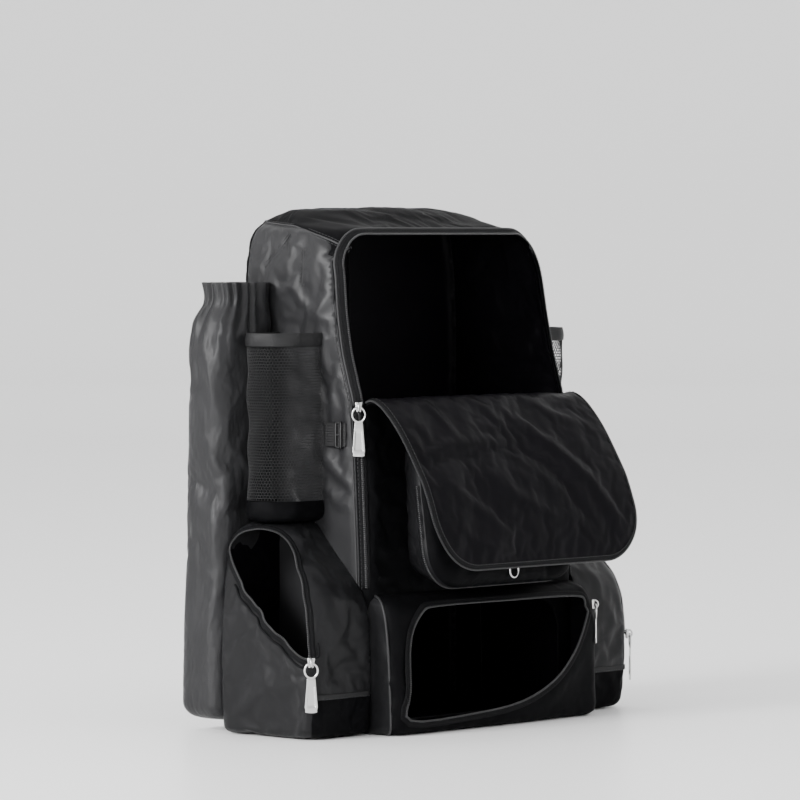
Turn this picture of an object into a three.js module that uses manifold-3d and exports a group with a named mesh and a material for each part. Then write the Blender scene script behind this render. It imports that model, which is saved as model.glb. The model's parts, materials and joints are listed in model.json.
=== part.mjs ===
// A backpack for bats and ball-sport gear, standing on its base with its lid folded forward.
// Millimetres, +Z up, the front faces -Y and +X is the viewer's right. The origin is the centre of the base.
import * as THREE from "three";
import Module from "manifold-3d";

const wasm = await Module();
wasm.setup();

// Main body
const bagHeight = 565;
const bodyWidth = 348;
const bodyDepth = 190;
const bodyCornerRadius = 22;
const bodyBackRadius = 9;
const bodyCloth = 3;
const shelfHeight = 152;
const shelfCloth = 2;

// Main opening and its lid, which is the upper part of the front folded forward
const sillHeight = 353;
const openingBelowTop = 28;
const openingTop = bagHeight - openingBelowTop;
const openingCornerRadius = 42;
const openingLip = 6;
const lidReach = 107;
const lidDrop = 171;
const lidSideInset = 8;
const lidHalfWidth = bodyWidth / 2 - lidSideInset;
const lidCornerRadius = 58;
const lidCloth = 3;
const lidLiningCloth = 1.2;
const lidLiningInset = 4.5;

// Shoe box at the foot of the front
const shoeBoxSideInset = 6;
const shoeBoxWidth = bodyWidth - 2 * shoeBoxSideInset;
const shoeBoxHeight = 149;
const shoeBoxProjection = 39;
const shoeBoxCornerRadius = 14;
const shoeMouthSideInset = 16;
const shoeMouthWidth = shoeBoxWidth - 2 * shoeMouthSideInset;
const shoeMouthTop = 138;
const shoeMouthBottom = 14;
const shoeTunnelInset = 12;
const shoeTunnelDrop = 6;
const shoeTunnelRadius = 30;

// Front pocket under the lid
const frontPocketWidth = 238;
const frontPocketBottom = 156;
const frontPocketTop = 332;
const frontPocketDepth = 54;
const frontPocketCornerRadius = 42;

// Bat sleeves at the back corners of the sides
const sideProjection = 88;
const sleeveDepth = 57;
const sleeveBottom = 12;
const sleeveBelowTop = 81;
const sleeveTop = bagHeight - sleeveBelowTop;
const sleeveCornerRadius = 15;
const sleeveGathers = 9;
const sleeveGatherDepth = 2.6;

// Bottle pockets
const bottleRadius = 32;
const bottleStandOff = 38;
const bottlePocketBottom = 227;
const bottlePocketTop = 430;
const bottleCupHeight = 23;
const bottleHemHeight = 14;
const netThickness = 1.6;
const hemThickness = 3;

// Ball pockets below the bottle pockets
const ballPocketTop = 226.4;
const ballPocketBackRadius = 8;
const pocketCloth = 2;

// Side straps
const webbingWidth = 25;
const webbingThickness = 1.6;
const sideStrapHeight = 321;
const ladderLockWidth = 9;
const ladderLockThickness = 3;
const ladderLockOverhang = 2.5;

// Back
const backPadWidth = 260;
const backPadBottom = 95;
const backPadBelowTop = 113;
const backPadTop = bagHeight - backPadBelowTop;
const backPadThickness = 16;
const backPadCornerRadius = 50;
const shoulderPadWidth = 62;
const shoulderPadThickness = 12;
const shoulderBelowTop = 65;
const shoulderTop = bagHeight - shoulderBelowTop;
const shoulderEndHeight = 238;
const shoulderDrop = shoulderTop - shoulderEndHeight;
const shoulderStandOff = 62;
const shoulderAnchorX = 62;
const shoulderSpread = 40;
const adjusterHeight = 20;
const adjusterOverhang = 4;
const adjusterThickness = 4;
const lowerAnchor = { x: 150, z: 50 };
const haulLoopSpan = 110;
const haulLoopRise = 30;
const haulLoopBelowTop = 44.5;
const haulLoopHeight = bagHeight - haulLoopBelowTop;
const haulLoopCloth = 3;

// Zips
const zipWidth = 9;
const zipThickness = 3;
const pocketZipWidth = 7;
const frontPocketZipWidth = 8;
const sliderLength = 11;
const sliderWidth = 9;
const sliderThickness = 3.4;
const bridgeWidth = 3;
const bridgeHeight = 5;
const bridgeWire = 1.5;
const pullRingWidth = 16;
const pullTabLength = 37;
const pullTabWidth = 15;
const pullThickness = 2;
const pullWire = 2.2;
const hangStep = 0.03;

// Clearances
const seat = 0.4;

const halfBody = bodyWidth / 2;
const sideSeat = halfBody + seat;

const colours = {
  sideCloth: [0x4a4a4c, 0.55, 0],
  frontCloth: [0x161617, 0.6, 0],
  lining: [0x2a282c, 0.45, 0],
  net: [0x1c1c1d, 0.7, 0],
  webbing: [0x18181a, 0.7, 0],
  zip: [0x202022, 0.6, 0],
  metal: [0xb9b9b6, 0.3, 1],
  plastic: [0x1b1b1c, 0.4, 0],
  padding: [0x232325, 0.8, 0],
};
const materials = Object.fromEntries(
  Object.entries(colours).map(([name, [color, roughness, metalness]]) => [
    name,
    new THREE.MeshStandardMaterial({ color, roughness, metalness }),
  ]),
);

const bag = new THREE.Group();
bag.position.y = bodyDepth / 2;

const vec = (x, y, z) => new THREE.Vector3(x, y, z);
const lerp = THREE.MathUtils.lerp;

// Turns points and faces into a solid with its faces pointing out.
function solidFrom(points, faces) {
  const vertProperties = new Float32Array(points.flatMap((p) => [p.x, p.y, p.z]));
  let sixVolumes = 0;
  for (const [a, b, c] of faces) sixVolumes += points[a].dot(points[b].clone().cross(points[c]));
  const triVerts = new Uint32Array(
    faces.flatMap(([a, b, c]) => (sixVolumes < 0 ? [a, c, b] : [a, b, c])),
  );
  return new wasm.Manifold(new wasm.Mesh({ numProp: 3, vertProperties, triVerts }));
}

// A closed solid through rings of equally many points, each end closed by a fan, or joined round as a loop.
function loft(rings, { round = false } = {}) {
  const count = rings[0].length;
  const points = rings.flat();
  const faces = [];
  const steps = round ? rings.length : rings.length - 1;
  for (let i = 0; i < steps; i++) {
    const low = i * count;
    const high = ((i + 1) % rings.length) * count;
    for (let j = 0; j < count; j++) {
      const k = (j + 1) % count;
      faces.push([low + j, low + k, high + k], [low + j, high + k, high + j]);
    }
  }
  if (!round) {
    const last = (rings.length - 1) * count;
    for (const [start, flip] of [
      [0, true],
      [last, false],
    ]) {
      const centre = points.length;
      const middle = vec(0, 0, 0);
      for (let j = 0; j < count; j++) middle.addScaledVector(points[start + j], 1 / count);
      points.push(middle);
      for (let j = 0; j < count; j++) {
        const k = (j + 1) % count;
        faces.push(flip ? [start + k, start + j, centre] : [start + j, start + k, centre]);
      }
    }
  }
  return solidFrom(points, faces);
}

// The corner points of a rectangle with round corners, going once round, as [across, along] pairs.
// The two corners at the high end of the second axis may have a radius of their own.
function roundedRectangle(low, high, radius, steps, highRadius = radius) {
  const most = Math.min((high[0] - low[0]) / 2, (high[1] - low[1]) / 2) - 0.01;
  const r = Math.min(radius, most);
  const s = Math.min(highRadius, most);
  const centres = [
    [high[0] - s, high[1] - s, 0, s],
    [low[0] + s, high[1] - s, 1, s],
    [low[0] + r, low[1] + r, 2, r],
    [high[0] - r, low[1] + r, 3, r],
  ];
  return centres.flatMap(([x, y, quarter, r]) =>
    Array.from({ length: steps + 1 }, (_, i) => {
      const angle = ((quarter + i / steps) * Math.PI) / 2;
      return [x + r * Math.cos(angle), y + r * Math.sin(angle)];
    }),
  );
}

// A value between the rows of a table, whose first column is the place along it.
function between(rows, place, column, along = "up") {
  const last = rows.length - 1;
  const i = Math.max(0, Math.min(last - 1, rows.findIndex((row) => row[along] > place) - 1));
  const from = place >= rows[last][along] ? last - 1 : i;
  const share = (place - rows[from][along]) / (rows[from + 1][along] - rows[from][along]);
  return lerp(rows[from][column], rows[from + 1][column], THREE.MathUtils.clamp(share, 0, 1));
}

// A band swept along points, square to the given normals, with its long edges bevelled where asked.
function band(points, normals, width, thickness, { round = false, bevel = 0 } = {}) {
  const count = points.length;
  const w = width / 2;
  const t = thickness / 2;
  const plain = [
    [w, t],
    [-w, t],
    [-w, -t],
    [w, -t],
  ];
  const bevelled = [
    [w - bevel, t],
    [bevel - w, t],
    [-w, t - bevel],
    [-w, bevel - t],
    [bevel - w, -t],
    [w - bevel, -t],
    [w, bevel - t],
    [w, t - bevel],
  ];
  const rings = points.map((p, i) => {
    const before = points[round ? (i + count - 1) % count : Math.max(0, i - 1)];
    const after = points[round ? (i + 1) % count : Math.min(count - 1, i + 1)];
    const along = after.clone().sub(before).normalize();
    const normal = normals[i].clone().addScaledVector(along, -normals[i].dot(along)).normalize();
    const across = along.clone().cross(normal);
    const section = bevel > 0 ? bevelled : plain;
    return section.map(([a, n]) => p.clone().addScaledVector(across, a).addScaledVector(normal, n));
  });
  return loft(rings, { round });
}

// The point and outward normal where a ray first meets a solid.
const caster = new THREE.Raycaster();
function meshOf(solid, material) {
  const { numProp, vertProperties, triVerts } = solid.getMesh();
  const positions = new Float32Array((vertProperties.length / numProp) * 3);
  for (let i = 0; i < positions.length / 3; i++)
    positions.set(vertProperties.subarray(i * numProp, i * numProp + 3), i * 3);
  const geometry = new THREE.BufferGeometry();
  geometry.setAttribute("position", new THREE.BufferAttribute(positions, 3));
  geometry.setIndex(new THREE.BufferAttribute(new Uint32Array(triVerts), 1));
  geometry.computeVertexNormals();
  return new THREE.Mesh(geometry, material);
}
function hit(mesh, origin, direction) {
  caster.set(origin, direction.clone().normalize());
  const [first] = caster.intersectObject(mesh);
  if (!first) throw new Error("a ray misses the surface at " + origin.toArray().join(", "));
  return { point: first.point.clone(), normal: first.face.normal.clone() };
}

// Where a line of points lands on a surface, with normals evened out along it.
function lay(mesh, origins, direction) {
  const hits = origins.map((origin) => hit(mesh, origin, direction));
  const normals = hits.map((_, i) => {
    const sum = vec(0, 0, 0);
    for (const k of [-1, 0, 1]) sum.add(hits[Math.max(0, Math.min(hits.length - 1, i + k))].normal);
    return sum.normalize();
  });
  return { points: hits.map((h) => h.point), normals };
}

const axisX = vec(1, 0, 0);
const axisY = vec(0, 1, 0);
const axisZ = vec(0, 0, 1);

// A prism over an outline of [a, b] pairs, standing along one axis.
function prism(outline, place, from, to) {
  return loft([from, to].map((depth) => outline.map(([a, b]) => place(a, b, depth))));
}
const alongY = (x, z, y) => vec(x, y, z);
const alongX = (y, z, x) => vec(x, y, z);

// Evenly spaced points along a line of points.
function evenly(points, count) {
  const lengths = [0];
  for (let i = 1; i < points.length; i++)
    lengths.push(lengths[i - 1] + points[i].distanceTo(points[i - 1]));
  return Array.from({ length: count }, (_, k) => {
    const want = (lengths.at(-1) * k) / (count - 1);
    const i = Math.max(1, lengths.findIndex((l) => l >= want - 1e-9));
    const share = (want - lengths[i - 1]) / (lengths[i] - lengths[i - 1]);
    return points[i - 1].clone().lerp(points[i], share);
  });
}

const placed = [];
function add(name, solid, material, parent = bag) {
  const mesh = meshOf(solid, material);
  mesh.name = name;
  parent.add(mesh);
  if (parent === bag) placed.push(solid);
  return mesh;
}

// How far a piece has to move out to stand clear of every piece placed so far.
function clearance(solid, out) {
  const moved = (distance) => solid.translate([out.x * distance, out.y * distance, out.z * distance]);
  let distance = 0;
  while (placed.some((other) => other.intersect(moved(distance - seat)).volume() > 0)) distance += 0.2;
  return distance;
}

// Main body: horizontal sections, as shares of the height, half width, depth and front corner radius.
// The crown is highest at the back and falls away to the front, and the back is squared off.
const bodyRows = [
  { up: 0.0, wide: 0.93, front: 0.955, back: 0.04, corner: 0.8 },
  { up: 0.018, wide: 1.0, front: 1.0, back: 0.0, corner: 1.0 },
  { up: 0.265, wide: 1.0, front: 0.995, back: 0.0, corner: 1.0 },
  { up: 0.442, wide: 1.0, front: 0.974, back: 0.0, corner: 1.0 },
  { up: 0.625, wide: 1.0, front: 0.937, back: 0.0, corner: 1.0 },
  { up: 0.673, wide: 1.0, front: 0.898, back: 0.0, corner: 1.0 },
  { up: 0.73, wide: 1.0, front: 0.85, back: 0.0, corner: 1.0 },
  { up: 0.805, wide: 0.992, front: 0.815, back: 0.0, corner: 1.1 },
  { up: 0.881, wide: 0.975, front: 0.795, back: 0.0, corner: 1.3 },
  { up: 0.92, wide: 0.955, front: 0.77, back: 0.0, corner: 1.6 },
  { up: 0.951, wide: 0.92, front: 0.73, back: 0.005, corner: 2.1 },
  { up: 0.974, wide: 0.83, front: 0.54, back: 0.03, corner: 2.4 },
  { up: 0.99, wide: 0.69, front: 0.38, back: 0.06, corner: 2.2 },
  { up: 1.0, wide: 0.46, front: 0.24, back: 0.1, corner: 0.7 },
];
function bodyRing(row, inset) {
  const z = inset + row.up * (bagHeight - 2 * inset);
  const half = halfBody * row.wide - inset;
  const front = -bodyDepth * row.front + inset;
  const back = -bodyDepth * row.back - inset;
  const radius = Math.max(bodyCornerRadius * row.corner - inset, 3);
  const backRadius = Math.max(bodyBackRadius - inset, 3);
  const ring = roundedRectangle([-half, front], [half, back], radius, 4, backRadius);
  return ring.map(([x, y]) => vec(x, y, z));
}
const bodySolid = (inset) => loft(bodyRows.map((row) => bodyRing(row, inset)));
const bodyFrontAt = (z) => bodyDepth * between(bodyRows, z / bagHeight, "front");
const bodyHalfAt = (z) => halfBody * between(bodyRows, z / bagHeight, "wide");
const bodyOuter = bodySolid(0);
const bodyGrown = bodySolid(-seat);
const bodyMesh = meshOf(bodyOuter, materials.frontCloth);

// The edge of the main opening, from the left end of its sill over the top to the right end, as [x, z]
function openingEdge(steps) {
  const half = (z) => bodyHalfAt(z) - openingLip;
  const shoulder = openingTop - openingCornerRadius;
  const left = Array.from({ length: steps + 1 }, (_, i) => {
    const z = lerp(sillHeight, shoulder, i / steps);
    return [-half(z), z];
  });
  const corner = Array.from({ length: steps }, (_, i) => {
    const angle = ((i + 1) / steps) * (Math.PI / 2);
    return [
      -half(shoulder) + openingCornerRadius * (1 - Math.cos(angle)),
      shoulder + openingCornerRadius * Math.sin(angle),
    ];
  });
  const oneSide = [...left, ...corner];
  return [...oneSide, ...oneSide.map(([x, z]) => [-x, z]).reverse()];
}
const throughFront = [-3 * bodyDepth, -0.45 * bodyDepth];
const mainMouth = prism(openingEdge(5), alongY, ...throughFront);

// The way from the shoe box into the body
const shoeTunnelOutline = roundedRectangle(
  [-(shoeMouthWidth / 2 - shoeTunnelInset), shoeMouthBottom],
  [shoeMouthWidth / 2 - shoeTunnelInset, shoeMouthTop - shoeTunnelDrop],
  shoeTunnelRadius,
  3,
);
const shoeTunnel = prism(shoeTunnelOutline, alongY, ...throughFront);

add(
  "body_shell",
  bodyOuter.subtract(bodySolid(bodyCloth)).subtract(mainMouth).subtract(shoeTunnel),
  materials.frontCloth,
);

// The shelf that parts the shoe space from the main space
function levelSlice(z, inset) {
  const at = (column) => between(bodyRows, z / bagHeight, column);
  const half = halfBody * at("wide") - inset;
  const ring = roundedRectangle(
    [-half, -bodyDepth * at("front") + inset],
    [half, -bodyDepth * at("back") - inset],
    bodyCornerRadius * at("corner") - inset,
    4,
    bodyBackRadius - inset,
  );
  return ring.map(([x, y]) => vec(x, y, z));
}
add(
  "compartment_shelf",
  loft([
    levelSlice(shelfHeight, bodyCloth + seat),
    levelSlice(shelfHeight + shelfCloth, bodyCloth + seat),
  ]),
  materials.lining,
);

// Zip tape round the main opening, and the closed zips that run on down to the shoe box
function tapeAlong(host, hostGrown, origins, direction, { round = false, width = zipWidth } = {}) {
  const { points, normals } = lay(host, origins, direction);
  const raised = points.map((p, i) => p.clone().addScaledVector(normals[i], seat + zipThickness * 0.2));
  return band(raised, normals, width, zipThickness, { round }).subtract(hostGrown);
}
const farFront = -3 * bodyDepth;
const mainZipOrigins = evenly(
  openingEdge(8).map(([x, z]) => vec(x, 0, z)),
  29,
).map((p) => vec(p.x, farFront, p.z));
add("main_zip", tapeAlong(bodyMesh, bodyGrown, mainZipOrigins, axisY), materials.zip);

const closedZipTop = sillHeight - 4;
const closedZipBottom = shoeBoxHeight + 8;
for (const [name, sign] of [
  ["left", -1],
  ["right", 1],
]) {
  const origins = Array.from({ length: 6 }, (_, i) => {
    const z = lerp(closedZipTop, closedZipBottom, i / 5);
    return vec(sign * (bodyHalfAt(z) - openingLip), farFront, z);
  });
  add("main_zip_closed_" + name, tapeAlong(bodyMesh, bodyGrown, origins, axisY), materials.zip);
}

// Shoe box: horizontal sections, as shares of its height, half width and projection
const shoeBoxRows = [
  { up: 0.0, wide: 0.965, out: 0.78 },
  { up: 0.05, wide: 1.0, out: 1.0 },
  { up: 0.5, wide: 1.0, out: 0.93 },
  { up: 0.84, wide: 1.0, out: 0.79 },
  { up: 0.95, wide: 0.985, out: 0.6 },
  { up: 1.0, wide: 0.95, out: 0.3 },
];
function shoeBoxRing(row, inset) {
  const half = (shoeBoxWidth / 2) * row.wide - inset;
  const front = -bodyDepth - shoeBoxProjection * row.out + inset;
  const back = inset > 0 ? -bodyDepth * 0.8 : -bodyDepth * 0.9;
  const radius = Math.max(shoeBoxCornerRadius - inset, 2);
  const z = inset + row.up * (shoeBoxHeight - 2 * inset);
  return roundedRectangle([-half, front], [half, back], radius, 3).map(([x, y]) => vec(x, y, z));
}
const shoeBoxSolid = (inset) => loft(shoeBoxRows.map((row) => shoeBoxRing(row, inset)));
const shoeBoxOuter = shoeBoxSolid(0);
const shoeBoxMesh = meshOf(shoeBoxOuter, materials.sideCloth);

// Its mouth: straight at the left, round at the top left, and bounded below by the sagging edge of the slack
// panel. Shares of the mouth's half width and height, going once round.
const shoeMouthRows = [
  { across: -1.0, up: 0.0 },
  { across: -1.0, up: 0.3 },
  { across: -0.99, up: 0.62 },
  { across: -0.93, up: 0.82 },
  { across: -0.8, up: 0.96 },
  { across: -0.62, up: 1.0 },
  { across: 0.2, up: 1.0 },
  { across: 0.86, up: 0.99 },
  { across: 1.0, up: 0.93 },
  { across: 0.93, up: 0.72 },
  { across: 0.78, up: 0.46 },
  { across: 0.55, up: 0.24 },
  { across: 0.2, up: 0.08 },
  { across: -0.3, up: 0.01 },
];
const shoeMouth = shoeMouthRows.map(({ across, up }) => [
  (across * shoeMouthWidth) / 2,
  lerp(shoeMouthBottom, shoeMouthTop, up),
]);
const shoeMouthCut = prism(shoeMouth, alongY, farFront, -bodyDepth * 0.9);
add(
  "shoe_box",
  shoeBoxOuter.subtract(shoeBoxSolid(pocketCloth)).subtract(shoeMouthCut).subtract(bodyGrown),
  materials.sideCloth,
);
const shoeZipOrigins = evenly(
  [...shoeMouth, shoeMouth[0]].map(([x, z]) => vec(x, farFront, z)),
  27,
).slice(0, -1);
add(
  "shoe_zip",
  tapeAlong(shoeBoxMesh, shoeBoxSolid(-seat), shoeZipOrigins, axisY, { round: true, width: pocketZipWidth }),
  materials.zip,
);

// Front pocket: sections by depth, as shares of its depth, with how far the outline draws in
const frontPocketRows = [
  { out: -0.3, drawIn: 0.3 },
  { out: 0.0, drawIn: 0.3 },
  { out: 0.7, drawIn: 0.0 },
  { out: 0.88, drawIn: 0.08 },
  { out: 0.98, drawIn: 0.28 },
  { out: 1.0, drawIn: 0.75 },
];
const frontPocketTopShare = 0.62;
function frontPocketRing(row, inset) {
  const drawn = row.drawIn * frontPocketCornerRadius + inset;
  const half = frontPocketWidth / 2 - drawn;
  const outline = roundedRectangle(
    [-half, frontPocketBottom + drawn],
    [half, frontPocketTop - drawn],
    Math.max(frontPocketCornerRadius - drawn, 8),
    4,
  );
  return outline.map(([x, z]) => {
    const rise = (z - frontPocketBottom) / (frontPocketTop - frontPocketBottom);
    const depth = (frontPocketDepth - inset) * lerp(1, frontPocketTopShare, rise);
    return vec(x, -bodyFrontAt(z) - depth * row.out, z);
  });
}
const frontPocketSolid = (inset) => loft(frontPocketRows.map((row) => frontPocketRing(row, inset)));
add(
  "front_pocket",
  frontPocketSolid(0).subtract(frontPocketSolid(pocketCloth)).subtract(bodyGrown),
  materials.frontCloth,
);

// Its zip runs round the front rim, from one upper corner down and under to the other
const rimShare = 0.66;
const frontZipLine = frontPocketRing({ out: rimShare, drawIn: 0.02 }, -(zipThickness / 2 + seat));
const frontZipStart = 9;
const frontZipPoints = evenly(
  Array.from({ length: 12 }, (_, i) => frontZipLine[(frontZipStart + i) % frontZipLine.length]),
  24,
);
const frontPocketMiddle = vec(0, 0, (frontPocketBottom + frontPocketTop) / 2);
const frontZipNormals = frontZipPoints.map((p) => vec(p.x, 0, p.z - frontPocketMiddle.z).normalize());
add(
  "front_pocket_zip",
  band(frontZipPoints, frontZipNormals, frontPocketZipWidth, zipThickness).subtract(frontPocketSolid(-seat)),
  materials.zip,
);

// Lid: its middle line from the sill to its tip, as shares of its reach and its drop
const lidRows = [
  { out: 0.0, down: 0.0 },
  { out: 0.08, down: -0.028 },
  { out: 0.2, down: -0.005 },
  { out: 0.365, down: 0.08 },
  { out: 0.54, down: 0.21 },
  { out: 0.75, down: 0.42 },
  { out: 0.83, down: 0.525 },
  { out: 0.915, down: 0.69 },
  { out: 0.965, down: 0.83 },
  { out: 1.0, down: 1.0 },
];
const lidSteps = 12;
const lidRoot = -bodyFrontAt(sillHeight - lidCloth) - seat;
const lidPath = evenly(
  new THREE.CatmullRomCurve3(
    lidRows.map(({ out, down }) =>
      vec(0, lidRoot - out * lidReach, sillHeight - lidCloth / 2 - down * lidDrop),
    ),
  ).getPoints(60),
  lidSteps + 1,
);
const lidLength = lidPath.reduce((sum, p, i) => sum + (i ? p.distanceTo(lidPath[i - 1]) : 0), 0);
function lidLine(lift) {
  return lidPath.map((p, i) => {
    const along = lidPath[Math.min(i + 1, lidSteps)].clone().sub(lidPath[Math.max(i - 1, 0)]).normalize();
    const out = vec(0, along.z, -along.y);
    return { share: i / lidSteps, place: p.clone().addScaledVector(out, lift), out };
  });
}
function lidHalfAt(share, inset) {
  const fromTip = (1 - share) * lidLength;
  const straight = lidHalfWidth - inset;
  if (fromTip >= lidCornerRadius) return straight;
  const r = lidCornerRadius;
  return straight - r + Math.sqrt(Math.max(r * r - (r - fromTip) ** 2, 0));
}
const lidAcross = [-1, 0, 1];
function lidSolid(lift, thickness, inset) {
  const low = lidLine(lift);
  const high = lidLine(lift + thickness);
  const rings = low.map(({ share, place }, i) => {
    const half = lidHalfAt(share, inset);
    const bottom = lidAcross.map((a) => vec(a * half, place.y, place.z));
    const top = lidAcross.map((a) => vec(a * half, high[i].place.y, high[i].place.z)).reverse();
    return [...bottom, ...top];
  });
  return loft(rings);
}
add("lid_panel", lidSolid(0, lidCloth, 0), materials.frontCloth);
add("lid_lining", lidSolid(lidCloth + seat, lidLiningCloth, lidLiningInset), materials.lining);
const lidZipGap = seat + zipThickness / 2;
const lidMiddle = lidLine(lidCloth / 2);
const lidSide = lidMiddle.map(({ share, place }) =>
  vec(-(lidHalfAt(share, 0) + lidZipGap * 1.1), place.y, place.z),
);
const lidTip = lidMiddle.at(-1);
const tipDrop = vec(0, -lidTip.out.z, lidTip.out.y).multiplyScalar(lidZipGap * 1.25);
lidSide[lidSide.length - 1].add(tipDrop);
const lidEdge = [...lidSide, ...lidSide.map((p) => vec(-p.x, p.y, p.z)).reverse()];
const lidZipPoints = evenly(lidEdge.slice(1, -1), 29);
const lidOutAt = (p) => {
  const away = (row) => Math.abs(row.place.z - p.z);
  return lidMiddle.reduce((a, b) => (away(b) < away(a) ? b : a)).out;
};
add(
  "lid_zip",
  band(lidZipPoints, lidZipPoints.map(lidOutAt), zipThickness, lidCloth + lidLiningCloth)
    .subtract(lidSolid(-seat, lidCloth + lidLiningCloth + 3 * seat, -seat)),
  materials.zip,
);

// Bat sleeve: horizontal sections, as shares of its height and projection, with its back and front drawn in
const sleeveRows = [
  { up: 0.0, out: 0.8, drawIn: 0.16, gather: 0 },
  { up: 0.012, out: 0.98, drawIn: 0.04, gather: 0 },
  { up: 0.04, out: 1.07, drawIn: -0.04, gather: 0 },
  { up: 0.5, out: 1.01, drawIn: 0, gather: 0 },
  { up: 0.82, out: 0.985, drawIn: 0, gather: 0.1 },
  { up: 0.9, out: 0.93, drawIn: 0.02, gather: 0.4 },
  { up: 0.965, out: 0.8, drawIn: 0.09, gather: 0.9 },
  { up: 1.0, out: 0.83, drawIn: 0.06, gather: 1 },
];
const sleevePoints = 27;
function sleeveRing(sign, row, inset) {
  const reach = sideSeat + sideProjection * row.out;
  const draw = row.drawIn * sleeveDepth;
  const outline = roundedRectangle(
    [sideSeat + inset, -sleeveDepth + Math.max(draw, 0) + inset],
    [reach - inset, -draw - inset],
    sleeveCornerRadius - inset,
    5,
  );
  const height = sleeveTop - sleeveBottom;
  const z = row.up === 0 && inset > 0 ? sleeveBottom + inset : sleeveBottom + row.up * height;
  const ring = evenly(
    [...outline, outline[0]].map(([x, y]) => vec(x, y, 0)),
    sleevePoints + 1,
  ).slice(0, -1);
  const middle = vec((sideSeat + reach) / 2, -sleeveDepth / 2, 0);
  return ring.map((p, i) => {
    const free = THREE.MathUtils.clamp((p.x - sideSeat - 4) / 20, 0, 1);
    const wave = Math.cos((2 * Math.PI * i * sleeveGathers) / sleevePoints) - 1;
    const inward = middle.clone().sub(p).normalize();
    p.addScaledVector(inward, -wave * 0.5 * sleeveGatherDepth * row.gather * free);
    return vec(sign * p.x, p.y, z);
  });
}
function sleeve(sign) {
  const outer = loft(sleeveRows.map((row) => sleeveRing(sign, row, 0)));
  const innerRows = [...sleeveRows, { ...sleeveRows.at(-1), up: 1.03 }];
  const inner = loft(innerRows.map((row) => sleeveRing(sign, row, pocketCloth)));
  return outer.subtract(inner).subtract(bodyGrown);
}

// Bottle pocket: a round net on two straight sides, a hem above it and a gathered cup below
const bottleMiddle = -(sleeveDepth + seat + bottleRadius + hemThickness);
function bottleLine(sign, radius, z) {
  const centre = sideSeat + bottleStandOff;
  const side = (y) => [vec(sign * (sideSeat + 0.2), y, z), vec(sign * lerp(sideSeat, centre, 0.6), y, z)];
  const arc = Array.from({ length: 15 }, (_, i) => {
    const angle = -Math.PI / 2 + (i / 14) * Math.PI;
    return vec(sign * (centre + radius * Math.cos(angle)), bottleMiddle + radius * Math.sin(angle), z);
  });
  return [...side(bottleMiddle - radius), ...arc, ...side(bottleMiddle + radius).reverse()];
}
function bottleBand(sign, low, high, radius, thickness) {
  const points = bottleLine(sign, radius, (low + high) / 2);
  const normals = points.map((p) => {
    const across = vec(Math.max(0, Math.abs(p.x) - sideSeat - bottleStandOff) * sign, p.y - bottleMiddle, 0);
    return across.normalize();
  });
  return band(points, normals, high - low, thickness);
}
const cupRows = [
  { up: 0.0, wide: 0.7 },
  { up: 0.14, wide: 0.94 },
  { up: 0.5, wide: 1.04 },
  { up: 1.0, wide: 1.0 },
];
function cupRing(sign, row, inset) {
  const radius = (bottleRadius + 1) * row.wide - inset;
  const z = bottlePocketBottom + (row.up === 0 && inset > 0 ? inset : row.up * bottleCupHeight);
  return bottleLine(sign, radius, z).map((p, i, all) => {
    const atWall = i === 0 || i === all.length - 1;
    return atWall && inset > 0 ? vec(p.x + sign * inset, p.y, p.z) : p;
  });
}
function bottleCup(sign) {
  const outer = loft(cupRows.map((row) => cupRing(sign, row, 0)));
  const inner = loft([...cupRows, { up: 1.2, wide: 1 }].map((row) => cupRing(sign, row, pocketCloth)));
  return outer.subtract(inner).subtract(bodyGrown);
}

// Ball pocket: horizontal sections, as shares of its height and projection, with how far its back and front
// draw in and the radius of its front corner as shares of its length
const ballPocketRows = [
  { up: 0.0, out: 0.9, drawBack: 0.046, drawFront: 0.061, corner: 0.137 },
  { up: 0.035, out: 1.0, drawBack: 0, drawFront: 0, corner: 0.152 },
  { up: 0.27, out: 1.03, drawBack: 0, drawFront: -0.03, corner: 0.167 },
  { up: 0.53, out: 1.02, drawBack: 0, drawFront: -0.008, corner: 0.182 },
  { up: 0.65, out: 1.0, drawBack: 0, drawFront: 0.046, corner: 0.212 },
  { up: 0.78, out: 0.97, drawBack: 0, drawFront: 0.228, corner: 0.258 },
  { up: 0.86, out: 0.93, drawBack: 0, drawFront: 0.364, corner: 0.273 },
  { up: 0.94, out: 0.84, drawBack: 0.008, drawFront: 0.486, corner: 0.25 },
  { up: 1.0, out: 0.66, drawBack: 0.046, drawFront: 0.577, corner: 0.182 },
];
const ballPocketBack = -(sleeveDepth + 3 * seat);
const ballPocketLength = bodyDepth + ballPocketBack;
function ballPocketRing(sign, row, inset) {
  const z = inset + row.up * (ballPocketTop - 2 * inset);
  const wall = inset > 0 ? sideSeat - 8 : sideSeat - 2;
  const outline = roundedRectangle(
    [wall, -bodyDepth + row.drawFront * ballPocketLength + inset],
    [sideSeat + sideProjection * row.out - inset, ballPocketBack - row.drawBack * ballPocketLength - inset],
    row.corner * ballPocketLength - inset,
    4,
    ballPocketBackRadius - inset,
  );
  return outline.map(([x, y]) => vec(sign * x, y, z));
}
const ballPocketSolid = (sign, inset) => loft(ballPocketRows.map((row) => ballPocketRing(sign, row, inset)));

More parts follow.
